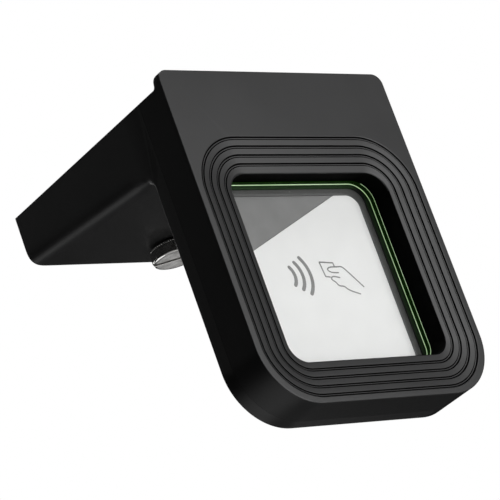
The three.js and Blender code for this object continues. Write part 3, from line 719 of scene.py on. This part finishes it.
def head_back():
    """The head's back plate. Its back edges tighten downwards from the arm's soft corners."""
    top = -3.0
    top_radius = BACK_EDGE_LIMIT + 0.5
    low_z = HEAD_BOTTOM + OUTER_BOTTOM_RADIUS
    high_z = top - top_radius
    heights = [high_z + (low_z - high_z) * i / SIDE_POINTS for i in range(1, SIDE_POINTS)]

    def outline(inset):
        corners = rounded(HALF_WIDTH - inset, top - inset, HEAD_BOTTOM + inset, top_radius - inset,
                          OUTER_BOTTOM_RADIUS - inset)
        per_arc = ARC_STEPS + 1
        left = [(-HALF_WIDTH + inset, z) for z in heights]
        right = [(HALF_WIDTH - inset, z) for z in reversed(heights)]
        return corners[:2 * per_arc] + left + corners[2 * per_arc + 1:-1] + right

    def radius_at(z):
        travel = CORNER_RUN + FILLET_LENGTH + (FILLET_Z - z)
        return min(corner_radius(travel), BACK_EDGE_LIMIT - 0.2)

    full = outline(0)
    drawn = outline(BACK_EDGE_LIMIT)
    rings = [lay_upright(outline(SEAM_CHAMFER), SHELL_FRONT), lay_upright(full, SHELL_FRONT + SEAM_CHAMFER)]
    for i in range(BACK_EDGE_STEPS + 1):
        angle = math.pi / 2 * i / BACK_EDGE_STEPS
        ring = []
        for (x, z), (inner_x, inner_z) in zip(full, drawn):
            radius = radius_at(z)
            share = radius * (1 - math.cos(angle)) / BACK_EDGE_LIMIT
            y = HEAD_BACK - radius * (1 - math.sin(angle))
            ring.append((x + (inner_x - x) * share, y, z + (inner_z - z) * share))
        rings.append(ring)
    return loft(rings)


def along_y(x, z, radius, low, high, steps=48):
    return prism(circle(x, z, radius, steps), low, high)


def stadium(x, z, half, tall):
    right = arc(x + half - tall, z, tall, -90, 90, steps=16)
    left = arc(x - half + tall, z, tall, 90, 270, steps=16)
    return right + left


def middle_of(node):
    low, high = box_mm(node)
    return (low + high) / 2


SCREW_NUMBERS = (1, 2, 3, 4)
case_screws, cover_screws, board_screws = (
    [middle_of(f"{kind}_screw_{i}") for i in SCREW_NUMBERS] for kind in ("case", "cover", "board"))
socket_x, _, socket_z = middle_of("usb_socket")
SOCKET_HALF = (socket_high.x - socket_low.x) / 2
SOCKET_TALL = (socket_high.z - socket_low.z) / 2

CASE_POST_RADIUS = 3.4
COVER_POST_RADIUS = 3.2
BOARD_POST_RADIUS = 2.4
BOARD_POST_TOP = -11.9
BUSH_POST_RADIUS = 6.4
BUSH_POST_TOP = -10.0
BUSH_RADIUS = 4.2
POST_ROOT = 1.2  # posts start this far above the arm's underside, inside its floor
POST_GAP = 0.3  # and the cover's posts stop this far under the cover
PILOT_RADIUS = 1.45
PILOT_STEPS = 24
SEAT_RADIUS = 2.6
SEAT_DEPTH = 2.2
WASHER_SEAT_RADIUS = 5.6
WASHER_SUNK = 0.85  # the washer's seat is this far above the washer's lower face
LABEL_GAP = 0.3
LABEL_RECESS_CORNER = 1.2
LABEL_RECESS_DEPTH = 0.6
THROUGH = 1.0  # cuts go on this far past a face


def shell_hollows():
    """The spaces inside the head's back and the arm."""
    head_corner = 1.5
    arm_corner = 0.5
    head_top, arm_top = 3.0, 4.0
    head = rounded(HALF_WIDTH - WALL, head_top, HEAD_BOTTOM + WALL, head_corner, HEAD_BOTTOM_RADIUS - WALL)
    arm = []
    for y in (shell_low.y - THROUGH, ARM_REAR - ARM_WALL):
        outline = rounded(HALF_WIDTH - ARM_WALL, arm_top, underside(y) + ARM_WALL, arm_corner,
                          ARM_CORNER_RADIUS - ARM_WALL)
        arm.append(lay_upright(outline, y))
    return [prism(head, FACE_Y + FRONT_DEPTH, HEAD_BACK - WALL), loft(arm)]


def shell_posts():
    def post(x, y, radius, top):
        return column(circle(x, y, radius), underside(y) + POST_ROOT, top)

    return [
        *(along_y(p.x, p.z, CASE_POST_RADIUS, shell_low.y, HEAD_BACK - THROUGH) for p in case_screws),
        *(post(p.x, p.y, COVER_POST_RADIUS, cover_low.z - POST_GAP) for p in cover_screws),
        *(post(p.x, p.y, BOARD_POST_RADIUS, BOARD_POST_TOP) for p in board_screws),
        post(0, SCREW_Y, BUSH_POST_RADIUS, BUSH_POST_TOP),
    ]


def shell_holes():
    """Screw holes and seats, the thumb screw's hole, the label's recess and the socket's mouth."""
    holes = []
    seat_profile = ((HEAD_BACK - SEAT_DEPTH, SEAT_RADIUS), (HEAD_BACK - 0.25, SEAT_RADIUS),
                    (HEAD_BACK + 0.5, SEAT_RADIUS + 0.75))
    for p in case_screws:
        depths = (FACE_Y + FRONT_DEPTH - THROUGH, HEAD_BACK + THROUGH)
        holes.append(along_y(p.x, p.z, PILOT_RADIUS, *depths, PILOT_STEPS))
    for p in case_screws:
        holes.append(loft([lay_upright(circle(p.x, p.z, radius), y) for y, radius in seat_profile]))
    for screws, low, high in ((cover_screws, -13, 0.5), (board_screws, -14, -11)):
        holes += [column(circle(p.x, p.y, PILOT_RADIUS, PILOT_STEPS), low, high) for p in screws]
    below_arm, in_arm = -26, -5
    holes.append(column(circle(0, SCREW_Y, BUSH_RADIUS), below_arm, in_arm))
    seat_z = washer_low.z + WASHER_SUNK
    counterbore = [
        (0, below_arm), (WASHER_SEAT_RADIUS + 0.8, below_arm),
        (WASHER_SEAT_RADIUS + 0.3, underside(SCREW_Y) - 0.2), (WASHER_SEAT_RADIUS, seat_z), (0, seat_z),
    ]
    holes.append(turned(counterbore, 0, SCREW_Y))
    half = (label_high.x - label_low.x) / 2 + LABEL_GAP
    recess = rounded(half, label_high.z + LABEL_GAP, label_low.z - LABEL_GAP, LABEL_RECESS_CORNER,
                     LABEL_RECESS_CORNER)
    holes.append(prism(recess, HEAD_BACK - LABEL_RECESS_DEPTH, HEAD_BACK + THROUGH))
    mouth = []
    for y, grow in ((ARM_REAR - 5, 0.3), (ARM_REAR - 0.4, 0.3), (ARM_REAR + 0.4, 1.1)):
        mouth.append(lay_upright(stadium(socket_x, socket_z, SOCKET_HALF + grow, SOCKET_TALL + grow), y))
    holes.append(loft(mouth))
    return holes


def rear_shell():
    shell = solid("shell", head_back())
    combine(shell, "UNION", [arm_outside()])
    combine(shell, "DIFFERENCE", shell_hollows())
    combine(shell, "UNION", shell_posts())
    combine(shell, "DIFFERENCE", shell_holes())
    dress(shell, "shell", ["rear_shell"])


# ---- Arm cover ----
PEG_X = 25.0
PEG_RADIUS = 2.5
PEG_FOOT = 0.4
COVER_FLOOR = -3.0


def rimmed(outline_at, low, high, radius, lay, steps=3):
    """A plate between two levels with rounded rims. outline_at gives its outline at an inset."""
    wall = wall_with_rims(low, high, radius, steps)
    return loft([lay(outline_at(inset), level) for inset, level in wall])


def arm_cover():
    """The plate that closes the arm, with screw seats, the thumb screw's hole and two locating pegs."""
    corner = 0.8
    rim = 0.3
    above = 0.4
    outline = plate_outline(cover_high.x, cover_high.y, cover_low.y, corner, corner)
    cover = solid("cover", rimmed(outline, cover_low.z, 0.0, rim, lay_flat))
    seat = [(0, COVER_FLOOR), (PILOT_RADIUS, COVER_FLOOR), (PILOT_RADIUS, -1.3), (SEAT_RADIUS, -1.3),
            (SEAT_RADIUS, -0.2), (SEAT_RADIUS + 0.6, above), (0, above)]
    bore = 2.4
    clearance = [(0, COVER_FLOOR), (bore, COVER_FLOOR), (bore, -0.3), (bore + 0.6, above), (0, above)]
    holes = [turned(seat, p.x, p.y) for p in cover_screws]
    combine(cover, "DIFFERENCE", [*holes, turned(clearance, 0, SCREW_Y)])
    foot = [(0, -1), (PEG_RADIUS + PEG_FOOT, -1), (PEG_RADIUS + PEG_FOOT, 0.02), (PEG_RADIUS + 0.1, 0.25)]
    tip = [(PEG_RADIUS - inset, cover_high.z - rise) for inset, rise in reversed(quarter(0.7, 6))]
    profile = [*foot, *tip, (0, cover_high.z)]
    combine(cover, "UNION", [turned(profile, x, SCREW_Y) for x in (-PEG_X, PEG_X)])
    dress(cover, "shell", ["arm_cover"])


# ---- Window stack ----
def frame_ring(name, outer_at, inner_at, low, high, radius):
    """A flat ring with rounded rims; the outlines are given at an inset into the ring's material."""
    wall = wall_with_rims(low, high, radius)
    rings = [lay_upright(outer_at(inset), y) for inset, y in wall]
    rings += [lay_upright(inner_at(inset), y) for inset, y in reversed(wall)]
    return solid(name, loft(rings, loop=True))


BAND_RADII = (5.0, 3.5)  # top and bottom corners where the gasket meets the light band
PANEL_OPENING_RADII = (4.2, 2.0)
PANEL_RADII = (4.1, 1.8)
GLASS_CLEARANCE = 0.25
GROUND_STRIP = 0.18
FRONT_CHAMFER = 0.1
BACK_CHAMFER = 0.16
PAINTED_HIGHLIGHT, GREEN = 1, 2


def pane():
    """The window glass: clear faces, ground arrises front and back with a painted glowing highlight, and
    dark green edges between with a fainter painted glow.
    """
    stages = [
        (GLASS_CLEARANCE + FRONT_CHAMFER + GROUND_STRIP, glass_low.y, PAINTED_HIGHLIGHT),
        (GLASS_CLEARANCE + FRONT_CHAMFER, glass_low.y, GREEN),
        (GLASS_CLEARANCE, glass_low.y + FRONT_CHAMFER, GREEN),
        (GLASS_CLEARANCE, glass_high.y - BACK_CHAMFER, PAINTED_HIGHLIGHT),
    ]
    rings = []
    finishes = []
    for inset, y, finish in stages:
        outline = window_outline(inset)
        rings.append(lay_upright(outline, y))
        finishes += [finish] * len(outline)
    # The painted highlight is left off along the top of the front arris, where the light misses it.
    highlight_off_above = max(z for x, y, z in rings[0]) - 1.0
    for i, (x, y, z) in enumerate(rings[0]):
        if z > highlight_off_above:
            finishes[i] = GREEN
    rings.append(lay_upright(window_outline(GLASS_CLEARANCE + BACK_CHAMFER), glass_high.y))
    front_and_back = [PLAIN, PLAIN]
    glass = solid("pane", loft(rings), finishes + front_and_back)
    dress(glass, "glass", ["window_glass"], more=[painted_highlight_edge, green_edge_painted_glow])


def gasket():
    half = gasket_high.x - 2.0
    top, bottom = gasket_high.z - 1.25, gasket_low.z + 0.5

    def outer(inset):
        return window_outline(GLASS_CLEARANCE + inset)

    inner = plate_outline(half, top, bottom, *BAND_RADII, grows=True)
    ring = frame_ring("gasket", outer, inner, gasket_low.y, gasket_high.y, 0.15)
    dress(ring, "gasket", ["glass_gasket"])


def light_band():
    gap = 0.15
    outer = plate_outline(band_high.x, band_high.z, band_low.z, *BAND_RADII)
    opening = (panel_high.x + gap, PANEL_TOP + gap, panel_low.z - gap)
    inner = plate_outline(*opening, *PANEL_OPENING_RADII, grows=True)
    ring = frame_ring("light_band", outer, inner, band_low.y, band_high.y, 0.1)
    dress(ring, "diffuser", ["light_frame"])


# ---- Printed panels, split by one slanted line ----
SLANT_LOW = (-25.35, -50.9)
SLANT_HIGH = (16.9, -31.65)
SLANT_GAP = 0.06


def clipped(outline, start, end):
    """Keeps the part of an outline on the left of the line from start to end."""
    def side(p):
        return (end[0] - start[0]) * (p[1] - start[1]) - (end[1] - start[1]) * (p[0] - start[0])

    kept = []
    for a, b in zip(outline, outline[1:] + outline[:1]):
        if side(a) >= 0:
            kept.append(a)
        if (side(a) >= 0) != (side(b) >= 0):
            share = side(a) / (side(a) - side(b))
            kept.append((a[0] + (b[0] - a[0]) * share, a[1] + (b[1] - a[1]) * share))
    return kept


def printed_panels():
    whole = rounded(panel_high.x, PANEL_TOP, panel_low.z, *PANEL_RADII)
    for name, slot, node, shift, ends in (
        ("white_panel", "panel", "label_panel", -SLANT_GAP, (SLANT_HIGH, SLANT_LOW)),
        ("scan_pane", "smoked", "scan_window", SLANT_GAP, (SLANT_LOW, SLANT_HIGH)),
    ):
        start, end = ((x, z + shift) for x, z in ends)
        plate = solid(name, prism(clipped(whole, start, end), panel_low.y, panel_high.y))
        chamfer(plate, 0.05)
        dress(plate, slot, [node])


# ---- Pictogram: plain printed strokes on the panel ----
INK_FRONT = panel_low.y - 0.05
WAVE_WIDTH = 1.2
LINE_WIDTH = 0.42
WAVES_Z = -58.2
WAVES = ((-10.0, 2.9), (-7.0, 4.4), (-3.9, 5.9))  # each wave's x and half height
WAVE_RADIUS = 1.55  # of its half height
CARD = [(3.4, -58.9), (1.7, -58.7), (1.2, -53.9), (6.4, -54.3), (6.5, -55.5)]
THUMB = [
    (7.2, -57.6), (4.6, -57.5), (3.1, -56.5), (4.4, -55.6),
    (7.4, -55.7), (9.4, -55.5), (11.2, -57.6), (15.2, -62.5),
]
FINGERS = [
    (7.0, -59.2), (4.4, -58.6), (3.4, -59.6), (5.0, -60.7), (5.6, -62.0),
    (7.6, -62.0), (8.6, -63.2), (10.4, -64.0), (12.8, -64.8),
]


def stroke(path, width):
    """A thin raised line with round ends along a path of (x, z) points."""
    sides = ([], [])
    for i, (x, z) in enumerate(path):
        before = path[max(i - 1, 0)]
        after = path[min(i + 1, len(path) - 1)]
        first = Vector((x - before[0], z - before[1]))
        second = Vector((after[0] - x, after[1] - z))
        first = first.normalized() if first.length else second.normalized()
        second = second.normalized() if second.length else first
        mitre = (first + second).normalized()
        normal = Vector((-mitre.y, mitre.x)) * (width / 2 / max(mitre.dot(first), 0.5))
        sides[0].append((x + normal.x, z + normal.y))
        sides[1].append((x - normal.x, z - normal.y))
    caps = []
    for (x, z), (edge_x, edge_z) in ((path[-1], sides[0][-1]), (path[0], sides[1][0])):
        turn = math.degrees(math.atan2(edge_z - z, edge_x - x))
        caps.append(arc(x, z, width / 2, turn, turn - 180, steps=8)[1:-1])
    outline = sides[0] + caps[0] + sides[1][::-1] + caps[1]
    return prism(outline, INK_FRONT, panel_low.y)


def rounded_path(path, rounds):
    """Cuts the corners of an open path, a quarter of each side at a time, and keeps its ends."""
    for _ in range(rounds):
        cut = [path[0]]
        for (ax, az), (bx, bz) in zip(path, path[1:]):
            cut.append((ax * 0.75 + bx * 0.25, az * 0.75 + bz * 0.25))
            cut.append((ax * 0.25 + bx * 0.75, az * 0.25 + bz * 0.75))
        path = cut + [path[-1]]
    return path


def held_straight(path):
    """Adds points near the ends of each side, so that rounding cuts its corners only a little."""
    spaced = []
    for start, end in zip(path, path[1:]):
        for share in (0.0, 0.15, 0.85, 1.0):
            spaced.append(tuple(a + (b - a) * share for a, b in zip(start, end)))
    return spaced


def pictogram():
    """Three radio waves and a hand that holds a card, drawn plainly."""
    shapes = []
    for x, half_height in WAVES:
        radius = half_height * WAVE_RADIUS
        reach = math.degrees(math.asin(half_height / radius))
        shapes.append(stroke(arc(x - radius, WAVES_Z, radius, -reach, reach, steps=16), WAVE_WIDTH))
    shapes.append(stroke(rounded_path(held_straight(CARD), 1), LINE_WIDTH))
    for path in (THUMB, FINGERS):
        shapes.append(stroke(rounded_path(path, 3), LINE_WIDTH))
    for i, shape in enumerate(shapes):
        dress(solid(f"tap_mark_{i + 1}", shape), "panel", look=ink)


# ---- Thumb screw ----
KNOB_RADIUS = (screw_high.x - screw_low.x) / 2
KNOB_BOTTOM = screw_low.z
KNOB_TOP = -18.8
KNOB_EDGE_INSET = 0.15
KNURL_TEETH = 60
KNURL_DEPTH = 0.35
SHANK_RADIUS = 2.0
SHANK_TOP = screw_high.z
NECK_RADIUS = 1.6
NECK_LOW, NECK_HIGH = -3.8, -2.8
THREAD_LOW = -2.7
THREAD_PITCH = 0.7
THREAD_DEPTH = 0.36
THREAD_FADE = 0.6
RINGS_PER_PITCH = 8
POINT_CHAMFER = 0.6
SLOT_ANGLE = -35
SLOT_HALF = 0.9
SLOT_DEPTH = 1.3
SLOT_FLARE = 0.18
SLOT_REACH = 9.0


def screw_ring(radius, z, knurl=0.0, thread=0.0):
    points = []
    per_tooth = 4
    count = KNURL_TEETH * per_tooth
    for i in range(count):
        turn = i / count
        tooth = abs((i % per_tooth) / per_tooth * 2 - 1)
        phase = (z / THREAD_PITCH - turn) % 1
        reach = radius - knurl * tooth - thread * (1 - abs(2 * phase - 1))
        points.append((reach * math.cos(math.tau * turn), SCREW_Y + reach * math.sin(math.tau * turn), z))
    return points


def coin_slot():
    """A bar with flared lips, across the knob's lower face."""
    lip = SLOT_HALF + SLOT_FLARE
    side = [(SLOT_HALF, SLOT_DEPTH), (SLOT_HALF, SLOT_FLARE), (lip, -0.02), (lip, -1)]
    section = [(-SLOT_HALF, SLOT_DEPTH), *side, *((-across, rise) for across, rise in reversed(side[1:]))]
    cosine = math.cos(math.radians(SLOT_ANGLE))
    sine = math.sin(math.radians(SLOT_ANGLE))
    bar = []
    for far in (-SLOT_REACH, SLOT_REACH):
        ring = []
        for across, rise in section:
            y = SCREW_Y + far * sine + across * cosine
            ring.append((far * cosine - across * sine, y, KNOB_BOTTOM + rise))
        bar.append(ring)
    return loft(bar)


def thumb_screw():
    """Rings from the knob's lower face up its knurled side, over its top and along the threaded shank."""
    edge = KNOB_RADIUS - KNOB_EDGE_INSET
    rings = [screw_ring(KNOB_RADIUS - 1.7, KNOB_BOTTOM)]
    rings += [screw_ring(edge - inset, KNOB_BOTTOM + rise) for inset, rise in quarter(0.7, 5)]
    rings.append(screw_ring(KNOB_RADIUS, KNOB_BOTTOM + 0.85, KNURL_DEPTH))
    rings.append(screw_ring(KNOB_RADIUS, KNOB_TOP - 0.65, KNURL_DEPTH))
    rings += [screw_ring(edge - inset, KNOB_TOP - rise) for inset, rise in reversed(quarter(0.5, 4))]
    for radius, z in (
        (SHANK_RADIUS + 0.3, KNOB_TOP), (SHANK_RADIUS, KNOB_TOP + 0.3), (SHANK_RADIUS, NECK_LOW - 0.1),
        (NECK_RADIUS, NECK_LOW), (NECK_RADIUS, NECK_HIGH),
    ):
        rings.append(screw_ring(radius, z))
    thread_high = SHANK_TOP - 0.55
    count = round((thread_high - THREAD_LOW) / THREAD_PITCH * RINGS_PER_PITCH)
    for i in range(count + 1):
        z = THREAD_LOW + (thread_high - THREAD_LOW) * i / count
        fade = min(1.0, (z - THREAD_LOW) / THREAD_FADE)
        rings.append(screw_ring(SHANK_RADIUS, z, 0.0, THREAD_DEPTH * fade))
    rings.append(screw_ring(SHANK_RADIUS - POINT_CHAMFER, SHANK_TOP))
    screw = solid("clamp_screw", loft(rings))
    combine(screw, "DIFFERENCE", [coin_slot()])
    dress(screw, "steel", ["thumb_screw"], "thumb_screw", sharp=28)


def washer():
    low, high = washer_low.z, washer_high.z
    outer, inner = washer_high.x, 2.4
    profile = [(outer - inset, z) for inset, z in wall_with_rims(low, high, 0.15)]
    profile += [(inner + inset, z) for inset, z in reversed(wall_with_rims(low, high, 0.1, 2))]
    ring = solid("washer", turned(profile, 0, SCREW_Y))
    dress(ring, "washer", ["knob_washer"], "screw_carrier")


# ---- Small screws ----
HEAD_RADIUS = 2.3
CORE_RADIUS = 1.2
DRIVE_RADIUS = 1.15
CASE_HEAD_HEIGHT = 1.8
COVER_HEAD_HEIGHT = 1.0


def six_lobes(radius, steps=48):
    points = []
    for i in range(steps):
        turn = math.tau * i / steps
        reach = radius * (0.86 + 0.14 * math.cos(6 * turn))
        points.append((reach * math.cos(turn), reach * math.sin(turn)))
    return points


def facing_back(node):
    """Gives a function that turns a screw's own (x, y, height) into its place in the head's back."""
    centre, high = middle_of(node), box_mm(node)[1]
    return lambda p: (centre.x + p[0], high.y + p[2], centre.z + p[1])


def facing_up(node):
    """The same, for a screw in the arm's cover."""
    centre, high = middle_of(node), box_mm(node)[1]
    return lambda p: (centre.x + p[0], centre.y + p[1], high.z + p[2])


def small_screw(name, node, head_height, place):
    """A pan head screw with a six-lobed drive; heights are measured from its head's top."""
    low, high = box_mm(node)
    length = max(high - low)
    profile = [
        (0, -length),
        (CORE_RADIUS - 0.4, -length),
        (CORE_RADIUS, -length + 0.4),
        (CORE_RADIUS, -head_height),
        (HEAD_RADIUS, -head_height),
        *((HEAD_RADIUS - inset, -rise) for inset, rise in reversed(quarter(0.6, 6))),
        (0, 0),
    ]
    points, faces = turned(profile, 0, 0, 40)
    screw = solid(name, ([place(p) for p in points], faces))
    points, faces = column(six_lobes(DRIVE_RADIUS), -head_height * 0.65, THROUGH)
    combine(screw, "DIFFERENCE", [([place(p) for p in points], faces)])
    dress(screw, "black_screw", [node])


def small_screws():
    for i in SCREW_NUMBERS:
        node = f"case_screw_{i}"
        small_screw(f"case_fixing_{i}", node, CASE_HEAD_HEIGHT, facing_back(node))
        node = f"cover_screw_{i}"
        small_screw(f"cover_fixing_{i}", node, COVER_HEAD_HEIGHT, facing_up(node))


# ---- Socket and label ----
SOCKET_WALL = 0.35
TONGUE_HALF_THICKNESS = 0.35
CONTACT_COUNT = 8
CONTACT_PITCH = 0.6
CONTACT_HALF = 0.16
CONTACT_RISE = 0.05


def socket_mouth(inset):
    return stadium(socket_x, socket_z, SOCKET_HALF - inset, SOCKET_TALL - inset)


def socket_shell():
    front, rear = socket_low.y, socket_high.y
    stages = (
        (0, front), (0, rear - 0.12), (0.12, rear),
        (SOCKET_WALL - 0.1, rear), (SOCKET_WALL, rear - 0.1), (SOCKET_WALL, front),
    )
    rings = [lay_upright(socket_mouth(inset), y) for inset, y in stages]
    dress(solid("socket_shell", loft(rings, loop=True)), "tin", ["usb_socket"])


def socket_core():
    """The black block and tongue inside the socket."""
    front, rear = socket_low.y, socket_high.y
    half = SOCKET_HALF - 1.4
    thick = TONGUE_HALF_THICKNESS

    def outline(inset):
        flat = rounded(half - inset, socket_z + thick - inset, socket_z - thick + inset, 0.2, 0.2)
        return [(socket_x + x, z) for x, z in flat]

    core = solid("socket_core", prism(socket_mouth(SOCKET_WALL + 0.02), front + 0.1, front + 1.1))
    combine(core, "UNION", [rimmed(outline, front + 0.6, rear - 0.8, 0.1, lay_upright)])
    dress(core, "shell")


def socket_contacts():
    for side, word in ((-1, "low"), (1, "high")):
        level = socket_z + side * TONGUE_HALF_THICKNESS
        for i in range(CONTACT_COUNT):
            x = socket_x + (i - (CONTACT_COUNT - 1) / 2) * CONTACT_PITCH
            outline = [(x + across * CONTACT_HALF, level + up * CONTACT_RISE)
                       for across, up in ((-1, -1), (1, -1), (1, 1), (-1, 1))]
            shape = prism(outline, socket_low.y + 2.2, socket_high.y - 1.1)
            dress(solid(f"contact_{word}_{i + 1}", shape), "tin", look=looks["brass"])


def rating_label():
    corner = 1.0

    def outline(inset):
        return rounded(label_high.x - inset, label_high.z - inset, label_low.z + inset, corner - inset,
                       corner - inset)

    plate = solid("blank_label", rimmed(outline, label_low.y, label_high.y, 0.05, lay_upright, 2))
    dress(plate, "label", ["rating_label"])


# ---- Build ----
for part in frame["record"]["subparts"]:
    for place in frame["nodes"][part["node"]].material_slots:
        place.material = looks[part["material_slot"]]

front_housing()
rear_shell()
arm_cover()
pane()
gasket()
light_band()
printed_panels()
pictogram()
thumb_screw()
washer()
small_screws()
socket_shell()
socket_core()
socket_contacts()
rating_label()


# ---- Stage ----
AMBIENT = 0.01
FLOOR_LEVEL = -1200
FLOOR_HALF = 4000
FLOOR_CORNER = 200
WHITE = (1, 1, 1, 1)


def floor():
    n = Nodes("floor_paint")
    look = n.surface(
        Base_Color=n.blend(n.ramp(n.noise(3)), (0.80, 0.80, 0.80), (0.83, 0.83, 0.83)),
        Roughness=0.8,
        Normal=n.bump(n.noise(60), 0.0005, 0.1),
    )

    outline = plate_outline(FLOOR_HALF, FLOOR_HALF, -FLOOR_HALF, FLOOR_CORNER, FLOOR_CORNER)
    sheet = solid("floor", rimmed(outline, FLOOR_LEVEL - 20, FLOOR_LEVEL, 5, lay_flat))
    sheet.data.materials.append(look)


def area_light(name, place, aim, size, power):
    lamp = bpy.data.lights.new(name, "AREA")
    lamp.shape = "SQUARE"
    lamp.size = size
    lamp.energy = power
    made = bpy.data.objects.new(name, lamp)
    made.location = place
    made.rotation_mode = "QUATERNION"
    made.rotation_quaternion = (Vector(aim) - Vector(place)).to_track_quat("-Z", "Y")
    made.visible_camera = False
    bpy.context.scene.collection.objects.link(made)


def studio():
    """A white backdrop for the camera, and only a trace of light from it for everything else."""
    world = bpy.data.worlds.new("studio")
    bpy.context.scene.world = world
    world.use_nodes = True
    nodes, links = world.node_tree.nodes, world.node_tree.links
    nodes.clear()
    path = nodes.new("ShaderNodeLightPath")
    mix = nodes.new("ShaderNodeMixShader")
    out = nodes.new("ShaderNodeOutputWorld")
    links.new(path.outputs["Is Camera Ray"], mix.inputs[0])
    for socket, strength in ((1, AMBIENT), (2, 1.0)):
        background = nodes.new("ShaderNodeBackground")
        background.inputs["Color"].default_value = WHITE
        background.inputs["Strength"].default_value = strength
        links.new(background.outputs[0], mix.inputs[socket])
    links.new(mix.outputs[0], out.inputs["Surface"])


floor()
studio()
for light in (
    ("front_key", (0.38, -1.1, 0.02), (0, -0.04, -0.05), 0.9, 9.1),
    ("front_wide", (0.76, -1.21, 0.07), (0, -0.04, -0.05), 1.4, 2.2),
    ("front_low", (0.55, -1.3, -0.55), (0, -0.04, -0.05), 0.8, 6.6),
    ("overhead", (0.1, -0.3, 1.2), (0, -0.03, -0.05), 1.0, 12.5),
    ("under_back", (-0.32, 0.72, -0.78), (0, 0, -0.03), 0.8, 2.3),
    ("back_rim", (0.16, 0.98, 0.30), (0, -0.03, -0.05), 0.7, 3.0),
    ("left_fill", (-0.75, 0.95, 0.50), (0, 0.02, -0.02), 0.6, 0.16),
    ("screw_card", (0.632, 0.717, -0.370), (0, 0.0236, -0.023), 0.12, 0.02),
):
    area_light(*light)

camera = bpy.data.cameras.new("camera")
camera.lens = 214.14
camera.sensor_width = 36
camera.clip_start = 0.05
camera.clip_end = 20
eye = bpy.data.objects.new("camera", camera)
eye.location = (-0.58167, -0.61427, -0.34264)
eye.rotation_euler = [math.radians(a) for a in (111.165, 18.656, -36.773)]
bpy.context.scene.collection.objects.link(eye)
bpy.context.scene.camera = eye
bpy.context.scene.view_settings.view_transform = "Standard"
